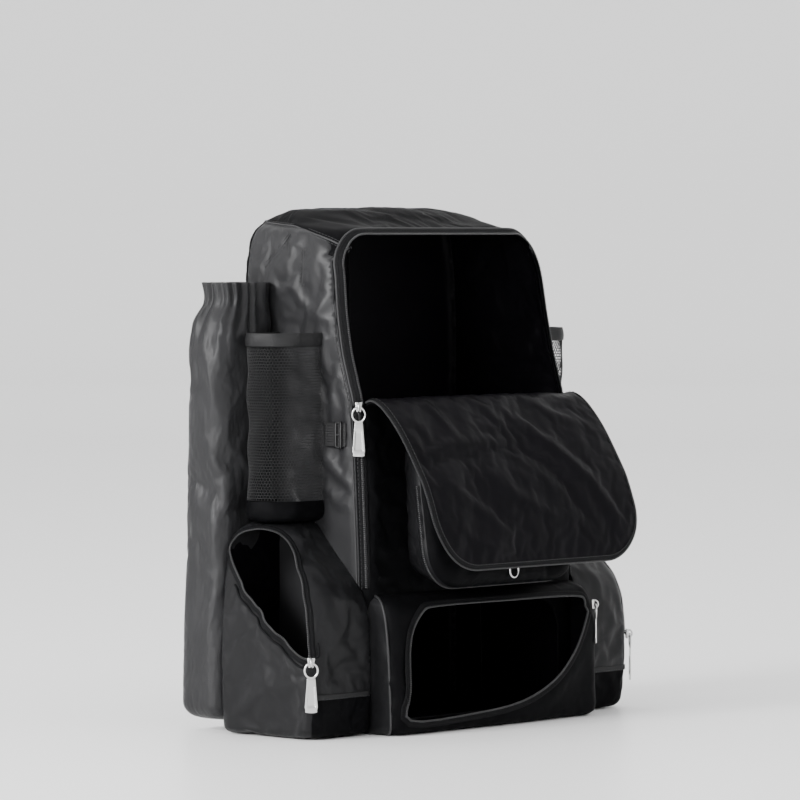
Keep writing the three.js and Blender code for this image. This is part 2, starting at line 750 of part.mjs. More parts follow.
// The open zip of the left ball pocket, seen from the side: over the top, down the front corner, and back up
// the slack edge. Shares of the pocket's length from its back edge and of its height, going once round.
const ballMouthRows = [
  { along: 0.035, up: 0.87 },
  { along: 0.045, up: 0.925 },
  { along: 0.1, up: 0.965 },
  { along: 0.26, up: 0.985 },
  { along: 0.4, up: 0.975 },
  { along: 0.5, up: 0.94 },
  { along: 0.6, up: 0.88 },
  { along: 0.72, up: 0.8 },
  { along: 0.84, up: 0.715 },
  { along: 0.925, up: 0.61 },
  { along: 0.965, up: 0.48 },
  { along: 0.965, up: 0.375 },
  { along: 0.8, up: 0.435 },
  { along: 0.6, up: 0.53 },
  { along: 0.37, up: 0.645 },
  { along: 0.14, up: 0.77 },
];
const ballMouth = ballMouthRows.map(({ along, up }) => [
  ballPocketBack - along * ballPocketLength,
  up * ballPocketTop - 1.5,
]);
const farSide = 2 * bodyWidth;
const ballMouthCut = prism(ballMouth, alongX, -farSide, -(sideSeat + 6));
const ballMouthOrigins = (sign, line) => line.map(([y, z]) => vec(sign * farSide, y, z));

// Side strap and its ladder lock, between the bottle pocket and the front edge
function sideStrap(sign) {
  const back = bottleMiddle - bottleRadius - hemThickness - seat;
  const front = -bodyFrontAt(sideStrapHeight) + bodyCornerRadius;
  const lift = seat + webbingThickness / 2;
  const line = [back, lerp(back, front, 0.5), front];
  const points = line.map((y) => vec(sign * (halfBody + lift), y, sideStrapHeight));
  const normals = points.map(() => vec(sign, 0, 0));
  const lockAt = lerp(back, front, 0.72);
  const lockLow = halfBody + 2 * seat + webbingThickness;
  const lock = (low, high, half, tall) => {
    const corners = [
      [lockAt - half, sideStrapHeight - tall],
      [lockAt + half, sideStrapHeight + tall],
    ];
    return prism(roundedRectangle(...corners, 2, 2), alongX, sign * low, sign * high);
  };
  const halfTall = webbingWidth / 2 + ladderLockOverhang;
  const frame = lock(lockLow, lockLow + ladderLockThickness, ladderLockWidth / 2, halfTall);
  const deep = [lockLow + 0.4 * ladderLockThickness, lockLow + 2 * ladderLockThickness];
  const window = lock(...deep, ladderLockWidth / 4, halfTall - ladderLockThickness);
  return {
    strap: band(points, normals, webbingWidth, webbingThickness),
    lock: frame.subtract(window),
  };
}

for (const [name, sign] of [
  ["left", -1],
  ["right", 1],
]) {
  add("bat_sleeve_" + name, sleeve(sign), materials.sideCloth);
  const netLow = bottlePocketBottom + bottleCupHeight + seat;
  const hemLow = bottlePocketTop - bottleHemHeight;
  const trim = (solid) => solid.subtract(bodyGrown);
  const net = bottleBand(sign, netLow, hemLow - seat, bottleRadius, netThickness);
  add("bottle_net_" + name, trim(net), materials.net);
  const hem = bottleBand(sign, hemLow, bottlePocketTop, bottleRadius, hemThickness);
  add("bottle_hem_" + name, trim(hem), materials.webbing);
  add("bottle_cup_" + name, bottleCup(sign), materials.frontCloth);

  const outer = ballPocketSolid(sign, 0);
  const hollow = outer.subtract(ballPocketSolid(sign, pocketCloth)).subtract(bodyGrown);
  add("ball_pocket_" + name, sign < 0 ? hollow.subtract(ballMouthCut) : hollow, materials.sideCloth);
  const outerMesh = meshOf(outer, materials.sideCloth);
  const grown = ballPocketSolid(sign, -seat);
  const wholeLine = [...ballMouth, ballMouth[0]].map(([y, z]) => vec(0, y, z));
  const upperLine = ballMouth.slice(0, 12).map(([y, z]) => vec(0, y, z));
  const line = sign < 0 ? evenly(wholeLine, 27).slice(0, -1) : evenly(upperLine, 16);
  add(
    "ball_zip_" + name,
    tapeAlong(outerMesh, grown, ballMouthOrigins(sign, line.map((p) => [p.y, p.z])), vec(-sign, 0, 0), {
      round: sign < 0,
      width: pocketZipWidth,
    }).subtract(bodyGrown),
    materials.zip,
  );

  const { strap, lock } = sideStrap(sign);
  add("side_strap_" + name, strap, materials.webbing);
  add("side_ladder_lock_" + name, lock, materials.plastic);
}

// Back pad, a flat pad with round corners and drawn-in edges
const backPadRings = [
  { out: 0, drawIn: 0 },
  { out: 0.7, drawIn: 0 },
  { out: 1, drawIn: 7 },
].map(({ out, drawIn }) =>
  roundedRectangle(
    [-backPadWidth / 2 + drawIn, backPadBottom + drawIn],
    [backPadWidth / 2 - drawIn, backPadTop - drawIn],
    backPadCornerRadius - drawIn,
    5,
  ).map(([x, z]) => vec(x, seat + out * backPadThickness, z)),
);
add("back_pad", loft(backPadRings), materials.padding);

// Shoulder strap: the padded part's middle line, as shares of the drop from its top anchor to its lower end
const shoulderRows = [
  { down: 0.11, out: 0.115, spread: 0 },
  { down: 0.03, out: 0.17, spread: 0 },
  { down: 0.0, out: 0.4, spread: 0.03 },
  { down: 0.045, out: 0.66, spread: 0.07 },
  { down: 0.18, out: 0.88, spread: 0.18 },
  { down: 0.38, out: 1.0, spread: 0.38 },
  { down: 0.6, out: 1.0, spread: 0.6 },
  { down: 0.82, out: 0.92, spread: 0.82 },
  { down: 1.0, out: 0.82, spread: 1.0 },
];
for (const [name, sign] of [
  ["left", -1],
  ["right", 1],
]) {
  const line = shoulderRows.map(({ down, out, spread }) =>
    vec(
      sign * (shoulderAnchorX + spread * shoulderSpread),
      out * shoulderStandOff,
      shoulderTop - down * shoulderDrop,
    ),
  );
  const smooth = new THREE.CatmullRomCurve3(line, false, "centripetal").getPoints(13);
  const normals = smooth.map((p, i) => {
    const along = smooth[Math.min(i + 1, smooth.length - 1)].clone().sub(smooth[Math.max(i - 1, 0)]);
    return along.cross(axisX).normalize();
  });
  const pad = band(smooth, normals, shoulderPadWidth, shoulderPadThickness, { bevel: 3.5 });
  add("shoulder_pad_" + name, pad.subtract(bodyGrown), materials.padding);

  // The webbing starts in the ladder lock at the pad's end and is sewn to the foot of the back
  const end = line.at(-1);
  const low = vec(sign * lowerAnchor.x, seat + webbingThickness / 2, lowerAnchor.z);
  const fall = low.clone().sub(end).normalize();
  const start = end.clone().addScaledVector(fall, 4.5 * seat);
  const hang = [0, 0.2, 0.45, 0.7, 0.88, 1].map((share) => {
    const p = start.clone().lerp(low, share);
    p.y -= Math.sin(share * Math.PI) * 4;
    p.y = Math.max(p.y, seat + webbingThickness / 2);
    return p;
  });
  const hangNormals = hang.map(() => axisY.clone());
  const webbing = band(hang, hangNormals, webbingWidth, webbingThickness);
  add("strap_webbing_" + name, webbing.subtract(bodyGrown), materials.webbing);
  const lockMiddle = start.clone().addScaledVector(fall, adjusterHeight);
  const lockBack = lockMiddle.y + webbingThickness / 2 + 1.2 * seat;
  const outline = (half, tall) =>
    roundedRectangle(
      [lockMiddle.x - half, lockMiddle.z - tall],
      [lockMiddle.x + half, lockMiddle.z + tall],
      3,
      2,
    );
  const leaning = (x, z, y) => vec(x, y + ((z - lockMiddle.z) * fall.y) / fall.z, z);
  const frame = prism(
    outline(webbingWidth / 2 + adjusterOverhang, adjusterHeight / 2),
    leaning,
    lockBack,
    lockBack + adjusterThickness,
  );
  const slots = [-0.24, 0.24].map((share) => {
    const z = lockMiddle.z + share * adjusterHeight;
    const slot = [
      [lockMiddle.x - webbingWidth / 2, z - 2],
      [lockMiddle.x + webbingWidth / 2, z - 2],
      [lockMiddle.x + webbingWidth / 2, z + 2],
      [lockMiddle.x - webbingWidth / 2, z + 2],
    ];
    return prism(slot, leaning, lockBack - adjusterThickness, lockBack + 2 * adjusterThickness);
  });
  const ladderLock = slots.reduce((solid, slot) => solid.subtract(slot), frame);
  add("strap_ladder_lock_" + name, ladderLock, materials.plastic);
}

// Haul loop, sewn flat at both ends and standing out from the back
const haulPoints = Array.from({ length: 13 }, (_, i) => {
  const share = i / 12;
  const x = lerp(-haulLoopSpan / 2, haulLoopSpan / 2, share);
  const rise = Math.sin(share * Math.PI) ** 0.7;
  return vec(x, seat + haulLoopCloth / 2 + rise * haulLoopRise, haulLoopHeight);
});
const haulNormals = haulPoints.map((p) => vec(p.x * 0.4, haulLoopRise, 0).normalize());
const haulLoop = band(haulPoints, haulNormals, webbingWidth, haulLoopCloth);
add("haul_loop", haulLoop.subtract(bodyGrown), materials.webbing);

// Zip slider and pull, made once in their own frame: x across, y out of the cloth, z up the zip
function boxSolid(low, high) {
  const [x0, y0, z0] = low;
  const [x1, y1, z1] = high;
  return prism(
    [
      [x0, z0],
      [x1, z0],
      [x1, z1],
      [x0, z1],
    ],
    alongY,
    y0,
    y1,
  );
}
const bridgeHalf = sliderLength / 2 - 0.8;
const hingeOut = sliderThickness + (bridgeHeight - bridgeWire) / 2;
function sliderSolid() {
  const plate = prism(
    [
      [-sliderWidth / 2, sliderLength * 0.1],
      [-sliderWidth * 0.3, -sliderLength / 2],
      [sliderWidth * 0.3, -sliderLength / 2],
      [sliderWidth / 2, sliderLength * 0.1],
      [sliderWidth * 0.34, sliderLength / 2],
      [-sliderWidth * 0.34, sliderLength / 2],
    ],
    alongY,
    0,
    sliderThickness,
  );
  const top = sliderThickness + bridgeHeight;
  const block = boxSolid(
    [-bridgeWidth / 2, sliderThickness - 0.5, -bridgeHalf],
    [bridgeWidth / 2, top, bridgeHalf],
  );
  const window = boxSolid(
    [-bridgeWidth, sliderThickness, -bridgeHalf + bridgeWire],
    [bridgeWidth, top - bridgeWire, bridgeHalf - bridgeWire],
  );
  return plate.add(block.subtract(window));
}
// The pull hangs from its hinge line, which is the middle of the wire at the top of its ring
function pullSolid(tabLength) {
  const half = pullRingWidth / 2;
  const ringHalf = half + 1;
  const ringMiddle = pullWire / 2 - ringHalf;
  const low = -pullThickness / 2;
  const high = pullThickness / 2;
  const oval = (inset, steps, from, to) =>
    prism(
      Array.from({ length: steps }, (_, i) => {
        const angle = (i / steps) * 2 * Math.PI;
        return [(half - inset) * Math.cos(angle), ringMiddle + (ringHalf - inset) * Math.sin(angle)];
      }),
      alongY,
      from,
      to,
    );
  const ring = oval(0, 14, low, high).subtract(oval(pullWire, 10, low - 1, high + 1));
  if (tabLength === 0) return ring;
  const neck = ringMiddle - ringHalf + pullWire / 2;
  const narrow = pullTabWidth * 0.32;
  const wide = pullTabWidth / 2;
  const foot = neck - tabLength;
  const outline = [
    [-narrow, neck],
    [-wide, foot + 2],
    [2 - wide, foot],
    [wide - 2, foot],
    [wide, foot + 2],
    [narrow, neck],
  ];
  return ring.add(prism(outline, alongY, low, high));
}

// A slider and its pull stand on a zip at a place, facing out along a normal that is kept level
function addSlider(name, place, normal, tabLength = pullTabLength) {
  const group = new THREE.Group();
  const out = vec(normal.x, normal.y, 0).normalize();
  const across = out.clone().cross(axisZ);
  group.position.copy(place);
  group.setRotationFromMatrix(new THREE.Matrix4().makeBasis(across, out, axisZ));
  group.updateMatrix();
  const inPlace = sliderSolid().transform(group.matrix.elements);
  group.position.addScaledVector(out, clearance(inPlace, out));
  group.updateMatrix();
  bag.add(group);
  add(name + "_slider", sliderSolid(), materials.metal, group);

  // The pull hangs straight down, or leans out as far as the cloth behind it makes it
  const pull = new THREE.Group();
  pull.position.y = hingeOut;
  const leaning = () => {
    pull.updateMatrix();
    const matrix = group.matrix.clone().multiply(pull.matrix);
    const inward = out.clone().multiplyScalar(-seat).toArray();
    return pullSolid(tabLength).transform(matrix.elements).translate(inward);
  };
  while (placed.some((other) => other.intersect(leaning()).volume() > 0)) pull.rotation.x += hangStep;
  group.add(pull);
  add(name + "_pull", pullSolid(tabLength), materials.metal, pull);
}
const onBody = (x, z) => hit(bodyMesh, vec(x, farFront, z), axisY);
for (const [name, sign] of [
  ["main_left", -1],
  ["main_right", 1],
]) {
  const { point } = onBody(sign * (bodyHalfAt(sillHeight) - openingLip), sillHeight - 2);
  addSlider(name, point, vec(sign, -0.9, 0));
}
const [ballSliderY, ballSliderZ] = ballMouth[11];
for (const [name, sign] of [
  ["ball_left", -1],
  ["ball_right", 1],
]) {
  const host = meshOf(ballPocketSolid(sign, 0), materials.sideCloth);
  const { point } = hit(host, vec(sign * farSide, ballSliderY, ballSliderZ), vec(-sign, 0, 0));
  addSlider(name, point, vec(sign * 1, -1, 0));
}
const shoeSliderCorner = hit(
  shoeBoxMesh,
  vec(shoeBoxWidth, -bodyDepth - shoeBoxProjection - 40, shoeMouthTop - 14),
  vec(-1, 0.28, 0),
);
addSlider("shoe", shoeSliderCorner.point, vec(1, -1, 0), pullTabLength * 0.75);
const frontSliderAt = frontPocketRing({ out: 0.88, drawIn: 0.08 }, 0);
const frontSliderLow = frontSliderAt.reduce((a, b) => (b.z < a.z - 0.01 ? b : a));
addSlider("front_pocket", vec(1, frontSliderLow.y, frontPocketBottom + 23), vec(0, -1, 0), 0);

export default bag;
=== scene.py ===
"""Looks of a backpack for bats and ball-sport gear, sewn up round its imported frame."""
import json
import math
import random

import bmesh
import bpy
import numpy as np
from bpy.props import FloatProperty, FloatVectorProperty, IntProperty, PointerProperty
from mathutils import Matrix, Vector, geometry, kdtree


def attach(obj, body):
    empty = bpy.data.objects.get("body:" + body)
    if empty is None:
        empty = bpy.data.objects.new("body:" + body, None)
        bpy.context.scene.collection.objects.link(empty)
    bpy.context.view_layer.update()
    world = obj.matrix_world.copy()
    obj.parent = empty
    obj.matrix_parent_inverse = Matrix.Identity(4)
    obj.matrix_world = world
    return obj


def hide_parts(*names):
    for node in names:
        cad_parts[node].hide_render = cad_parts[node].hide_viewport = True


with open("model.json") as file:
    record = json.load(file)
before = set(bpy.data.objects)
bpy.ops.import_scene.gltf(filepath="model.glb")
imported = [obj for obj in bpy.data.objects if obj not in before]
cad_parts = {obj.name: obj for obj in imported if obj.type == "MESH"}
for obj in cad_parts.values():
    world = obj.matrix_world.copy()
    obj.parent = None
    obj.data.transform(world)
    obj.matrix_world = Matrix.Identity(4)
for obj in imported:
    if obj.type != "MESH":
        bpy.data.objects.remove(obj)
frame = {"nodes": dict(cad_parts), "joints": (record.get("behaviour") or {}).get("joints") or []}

bl_info = {"name": "Bat backpack", "version": (1, 0, 0), "blender": (4, 5, 0),
    "location": "View3D > Sidebar > Bat backpack",
    "description": "Sews the cloth, zips, straps and pads of a bat backpack round its frame",
    "category": "Add Mesh"}

MM = 0.001
SIDES = (("left", Vector((1, 1, 1))), ("right", Vector((-1, 1, 1))))
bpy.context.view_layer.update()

# Sizes of the bag in millimetres, with the front at -Y and the back panel at 0.
HEIGHT, WIDTH, DEPTH = 565.0, 348.0, 190.0
HALF = WIDTH / 2
CORNER, BACK_CORNER = 22.0, 9.0
SEAT = 0.4
SIDE = HALF + SEAT
SILL, OPENING_TOP, OPENING_CORNER, LIP = 353.0, 537.0, 42.0, 6.0
SHELF = 152.0
LID_REACH, LID_DROP, LID_HALF, LID_CORNER = 107.0, 171.0, 166.0, 58.0
SHOE_HALF, SHOE_HEIGHT, SHOE_OUT, SHOE_CORNER = 168.0, 149.0, 39.0, 14.0
SHOE_MOUTH_HALF, SHOE_MOUTH_TOP, SHOE_MOUTH_LOW = 152.0, 138.0, 14.0
POCKET_WIDTH, POCKET_LOW, POCKET_TOP, POCKET_DEPTH, POCKET_CORNER = 238.0, 156.0, 332.0, 54.0, 42.0
SIDE_OUT, SLEEVE_DEPTH, SLEEVE_LOW, SLEEVE_TOP, GATHERS = 88.0, 57.0, 12.0, 484.0, 9
BOTTLE_RADIUS, BOTTLE_OFF, BOTTLE_LOW, BOTTLE_TOP, CUP, HEM = 32.0, 38.0, 227.0, 430.0, 23.0, 14.0
BALL_TOP = 226.4
BALL_BACK = -(SLEEVE_DEPTH + 3 * SEAT)
BALL_LENGTH = DEPTH + BALL_BACK
BOTTLE_MIDDLE = -(SLEEVE_DEPTH + SEAT + BOTTLE_RADIUS + 3.0)
WEBBING, WEBBING_THICK = 25.0, 1.6
STRAP_Z = 321.0

# Level rings of the body: place up it, then shares of the half width, the depth and the corner radius.
BODY_ROWS = [
    (0.0, 0.93, 0.955, 0.04, 0.8),
    (0.018, 1.0, 1.0, 0.0, 1.0),
    (0.265, 1.0, 0.995, 0.0, 1.0),
    (0.442, 1.0, 0.974, 0.0, 1.0),
    (0.625, 1.0, 0.937, 0.0, 1.0),
    (0.673, 1.0, 0.898, 0.0, 1.0),
    (0.73, 1.0, 0.85, 0.0, 1.0),
    (0.805, 0.992, 0.815, 0.0, 1.1),
    (0.881, 0.975, 0.795, 0.0, 1.3),
    (0.92, 0.955, 0.77, 0.0, 1.6),
    (0.951, 0.92, 0.73, 0.005, 2.1),
    (0.974, 0.83, 0.54, 0.03, 2.4),
    (0.99, 0.69, 0.38, 0.06, 2.2),
    (1.0, 0.46, 0.24, 0.1, 0.7),
]
BALL_ROWS = [
    (0.0, 0.9, 0.046, 0.061, 0.137),
    (0.035, 1.0, 0.0, 0.0, 0.152),
    (0.27, 1.03, 0.0, -0.03, 0.167),
    (0.53, 1.02, 0.0, -0.008, 0.182),
    (0.65, 1.0, 0.0, 0.046, 0.212),
    (0.78, 0.97, 0.0, 0.228, 0.258),
    (0.86, 0.93, 0.0, 0.364, 0.273),
    (0.94, 0.84, 0.008, 0.486, 0.25),
    (1.0, 0.66, 0.046, 0.577, 0.182),
]
BALL_MOUTH = [
    (0.035, 0.87), (0.045, 0.925), (0.1, 0.965), (0.26, 0.985), (0.4, 0.975), (0.5, 0.94), (0.6, 0.88),
    (0.72, 0.8), (0.84, 0.715), (0.925, 0.61), (0.965, 0.48), (0.965, 0.375), (0.8, 0.435), (0.6, 0.53),
    (0.37, 0.645), (0.14, 0.77),
]
SHOE_ROWS = [
    (0.0, 0.965, 0.78),
    (0.05, 1.0, 1.0),
    (0.5, 1.0, 0.93),
    (0.84, 1.0, 0.79),
    (0.95, 0.985, 0.6),
    (1.0, 0.95, 0.3),
]
SHOE_MOUTH = [
    (-1.0, 0.0), (-1.0, 0.3), (-0.99, 0.62), (-0.93, 0.82), (-0.8, 0.96), (-0.62, 1.0), (0.2, 1.0),
    (0.86, 0.99), (1.0, 0.93), (0.93, 0.72), (0.78, 0.46), (0.55, 0.24), (0.2, 0.08), (-0.3, 0.01),
]
LID_ROWS = [
    (0.0, 0.0), (0.08, -0.028), (0.2, -0.005), (0.365, 0.08), (0.54, 0.21), (0.75, 0.42), (0.83, 0.525),
    (0.915, 0.69), (0.965, 0.83), (1.0, 1.0),
]
SLEEVE_ROWS = [
    (0.0, 0.8, 0.16, 0.0),
    (0.012, 0.98, 0.04, 0.0),
    (0.04, 1.07, -0.04, 0.0),
    (0.5, 1.01, 0.0, 0.0),
    (0.82, 0.985, 0.0, 0.1),
    (0.9, 0.93, 0.02, 0.4),
    (0.965, 0.8, 0.09, 0.9),
    (1.0, 0.83, 0.06, 1.0),
]
CUP_ROWS = [(0.0, 0.7), (0.14, 0.94), (0.5, 1.04), (1.0, 1.0)]


def measure(name, text, value):
    return FloatProperty(name=name, description=text, default=value, unit="LENGTH")


class BagSizes(bpy.types.PropertyGroup):
    """Sizes of the sewing that a user would change."""

    cloth_grid: measure("Cloth grid", "Mesh size of the cloth", 0.0065)
    slack: FloatProperty(name="Slack", description="How much larger the cloth is cut", default=0.018)
    frames: IntProperty(name="Settling steps", description="Steps that the cloth takes", default=24)
    wall: measure("Wall", "Thickness of the cloth", 0.0014)
    piping: measure("Piping", "Radius of the piping on the seams", 0.0015)
    tape: measure("Zip tape", "Width of an open zip's tape", 0.009)
    tooth: measure("Zip tooth", "Length of one tooth with its gap", 0.0022)
    stitch: measure("Stitch", "Length of one stitch", 0.0032)
    net_cell: measure("Net cell", "Width of one cell of the net", 0.0036)
    net_thread: measure("Net thread", "Thickness of the net's thread", 0.00085)


def colour(name, text, value):
    return FloatVectorProperty(name=name, description=text, default=value, subtype="COLOR", size=4, min=0,
        max=1)


class BagColours(bpy.types.PropertyGroup):
    """Colours of the bag's finishes."""

    charcoal: colour("Charcoal cloth", "Sides, pockets and sleeves", (0.0150, 0.0150, 0.0160, 1))
    # Dark cloth is the ball pockets' own cloth and that of the shoe box's gussets. On the front pocket's
    # gussets it is painted light: it is lighter than the black cloth they are cut from, and stands for the key
    # lamp's light on them.
    dark: colour("Dark cloth", "Ball pockets and gussets", (0.0075, 0.0075, 0.0082, 1))
    # Black cloth is the own colour of the body's front, the back, the lid and the cup. On the shoe box's front
    # it is painted shade: a darker copy of the cloth of its gussets.
    black: colour("Black cloth", "Front and lid", (0.0030, 0.0030, 0.0034, 1))
    lining: colour("Lining", "Inside of the lid and of the pockets", (0.0030, 0.0027, 0.0036, 1))
    net: colour("Net", "Bottle pockets", (0.011, 0.011, 0.0115, 1))
    webbing: colour("Webbing", "Straps and bindings", (0.0075, 0.0075, 0.008, 1))
    tape: colour("Zip tape", "Tapes of the zips", (0.005, 0.005, 0.0055, 1))
    teeth: colour("Zip teeth", "Coils of the zips", (0.014, 0.014, 0.015, 1))
    metal: colour("Metal", "Sliders and pulls", (0.56, 0.56, 0.555, 1))
    plastic: colour("Plastic", "Ladder locks", (0.006, 0.006, 0.0065, 1))
    padding: colour("Air mesh", "Back pad and shoulder pads", (0.008, 0.008, 0.009, 1))
    binding: colour("Binding", "Piping on the seams", (0.018, 0.018, 0.019, 1))
    floor: colour("Floor", "Floor round the bag", (0.94, 0.94, 0.94, 1))


# Finishes


def new_finish(name, base, roughness, specular=0.5, metallic=0.0):
    finish = bpy.data.materials.new(name)
    finish.use_nodes = True
    shader = finish.node_tree.nodes["Principled BSDF"]
    shader.inputs["Base Color"].default_value = base
    shader.inputs["Roughness"].default_value = roughness
    shader.inputs["Metallic"].default_value = metallic
    shader.inputs["Specular IOR Level"].default_value = specular
    return finish, finish.node_tree, shader


def add_node(tree, kind, **values):
    node = tree.nodes.new(kind)
    for key, value in values.items():
        if key in node.inputs:
            node.inputs[key].default_value = value
        else:
            setattr(node, key, value)
    return node


def weave_bump(tree, shader, pitch, depth, crumple=0.0, crumple_size=60.0):
    """Threads over and under, in the cloth's own flat coordinates, and larger soft crumples."""
    flat = add_node(tree, "ShaderNodeTexCoord")
    threads = []
    for direction in ("X", "Y"):
        wave = add_node(tree, "ShaderNodeTexWave", bands_direction=direction, Scale=0.314 / pitch,
            Distortion=0.0)
        tree.links.new(flat.outputs["UV"], wave.inputs["Vector"])
        threads.append(wave)
    weave = add_node(tree, "ShaderNodeMath", operation="MULTIPLY")
    tree.links.new(threads[0].outputs["Fac"], weave.inputs[0])
    tree.links.new(threads[1].outputs["Fac"], weave.inputs[1])
    bump = add_node(tree, "ShaderNodeBump", Strength=0.35, Distance=depth)
    tree.links.new(weave.outputs[0], bump.inputs["Height"])
    if crumple:
        cloud = add_node(tree, "ShaderNodeTexNoise", Scale=crumple_size, Detail=4.0, Roughness=0.5,
            Distortion=0.9)
        cloud.noise_type = "RIDGED_MULTIFRACTAL"
        stretch = add_node(tree, "ShaderNodeMapping", Scale=(1.0, 1.0, 0.55))
        tree.links.new(flat.outputs["Object"], stretch.inputs["Vector"])
        tree.links.new(stretch.outputs["Vector"], cloud.inputs["Vector"])
        soft = add_node(tree, "ShaderNodeBump", Strength=0.5, Distance=crumple)
        tree.links.new(cloud.outputs["Fac"], soft.inputs["Height"])
        tree.links.new(soft.outputs["Normal"], bump.inputs["Normal"])
    tree.links.new(bump.outputs["Normal"], shader.inputs["Normal"])
    return flat


def shade_variation(tree, shader, flat, base, spread, scale):
    cloud = add_node(tree, "ShaderNodeTexNoise", Scale=scale, Detail=4.0, Roughness=0.6)
    tree.links.new(flat.outputs["Object"], cloud.inputs["Vector"])
    ramp = add_node(tree, "ShaderNodeValToRGB")
    low, high = ramp.color_ramp.elements
    low.position, high.position = 0.3, 0.7
    low.color = [c * (1 - spread) for c in base[:3]] + [1]
    high.color = [c * (1 + spread) for c in base[:3]] + [1]
    tree.links.new(cloud.outputs["Fac"], ramp.inputs["Fac"])
    tree.links.new(ramp.outputs["Color"], shader.inputs["Base Color"])


def cloth_finish(name, base, roughness, pitch, depth, specular=0.25, crumple=0.0018, crumple_size=13.0):
    finish, tree, shader = new_finish(name, base, roughness, specular)
    flat = weave_bump(tree, shader, pitch, depth, crumple, crumple_size)
    shade_variation(tree, shader, flat, base, 0.14, 22.0)
    return finish


def metal_grain(tree, shader):
    flat = add_node(tree, "ShaderNodeTexCoord")
    grain = add_node(tree, "ShaderNodeTexNoise", Scale=900.0, Detail=2.0)
    tree.links.new(flat.outputs["Object"], grain.inputs["Vector"])
    bump = add_node(tree, "ShaderNodeBump", Strength=0.15, Distance=0.0001)
    tree.links.new(grain.outputs["Fac"], bump.inputs["Height"])
    tree.links.new(bump.outputs["Normal"], shader.inputs["Normal"])


# Woven finishes: name, roughness, the weave's pitch and depth, gloss, and the crumples' depth and size.
WOVEN = {
    "charcoal": ("charcoal_nylon", 0.4, 0.0009, 0.00012, 0.2),
    # The dark nylon is also painted light on the front pocket's gussets, and the black nylon is also painted
    # shade on the shoe box's front.
    "dark": ("dark_nylon", 0.4, 0.0009, 0.00012, 0.14),
    "black": ("black_nylon", 0.48, 0.0009, 0.00012, 0.02, 0.001),
    "lining": ("satin_lining", 0.4, 0.0006, 0.00006, 0.035, 0.0006, 12.0),
    "webbing": ("ribbed_webbing", 0.6, 0.0022, 0.0004, 0.25, 0.0),
    "binding": ("seam_binding", 0.5, 0.001, 0.0001, 0.3, 0.0),
    "tape": ("zip_tape", 0.62, 0.0012, 0.0002, 0.06, 0.0),
    "padding": ("air_mesh", 0.75, 0.0026, 0.0008, 0.2, 0.0),
}
# Plain finishes: name, roughness, gloss and metal.
PLAIN = {
    "net": ("knitted_net", 0.6, 0.3),
    "teeth": ("zip_teeth", 0.32, 0.5),
    "metal": ("satin_metal", 0.24, 0.5, 1.0),
    "plastic": ("moulded_plastic", 0.38, 0.5),
    "floor": ("studio_floor", 0.35, 0.4),
}
FINISHES = {}


def finish_named(name):
    """Each finish is made once, from the colours of the scene."""
    if name not in FINISHES:
        base = tuple(getattr(bpy.context.scene.bag_colours, name))
        if name in WOVEN:
            label, *values = WOVEN[name]
            FINISHES[name] = cloth_finish(label, base, *values)
        else:
            label, *values = PLAIN[name]
            FINISHES[name], tree, shader = new_finish(label, base, *values)
            if name == "metal":
                metal_grain(tree, shader)
    return FINISHES[name]


# Working shapes, in the bag's own millimetres


def between(a, b, share):
    return a + (b - a) * share


class Rows:
    """Smooth values between the rows of a table whose first column is the place along it."""

    def __init__(self, rows):
        self.rows = rows
        steps = [[(b[c] - a[c]) / (b[0] - a[0]) for a, b in zip(rows, rows[1:])] for c in range(1,
            len(rows[0]))]
        self.slopes = [[d[0], *[0 if p * q <= 0 else 2 * p * q / (p + q) for p, q in zip(d, d[1:])], d[-1]]
            for d in steps]

    def at(self, place):
        rows = self.rows
        i = 0
        while i < len(rows) - 2 and place > rows[i + 1][0]:
            i += 1
        h = rows[i + 1][0] - rows[i][0]
        t = min(max((place - rows[i][0]) / h, 0.0), 1.0)
        a, b = rows[i], rows[i + 1]
        s = t * t * (3 - 2 * t)
        p, q = t * (1 - t) ** 2 * h, -t * t * (1 - t) * h
        return [a[c] + (b[c] - a[c]) * s + m[i] * p + m[i + 1] * q for c, m in enumerate(self.slopes, 1)]


def ring_point(q, left, right, front, back, corner, back_corner):
    """A point on a level ring, from its left side over the front and the right side to the back."""
    part = int(math.floor(q)) % 8
    t = q - math.floor(q)
    a = t * math.pi / 2
    if part == 0:
        return left, between(back - back_corner, front + corner, t)
    if part == 1:
        return left + corner * (1 - math.cos(a)), front + corner * (1 - math.sin(a))
    if part == 2:
        return between(left + corner, right - corner, t), front
    if part == 3:
        return right - corner * (1 - math.sin(a)), front + corner * (1 - math.cos(a))
    if part == 4:
        return right, between(front + corner, back - back_corner, t)
    if part == 5:
        return right - back_corner * (1 - math.cos(a)), back - back_corner * (1 - math.sin(a))
    if part == 6:
        return between(right - back_corner, left + back_corner, t), back
    return left + back_corner * (1 - math.sin(a)), back - back_corner * (1 - math.cos(a))


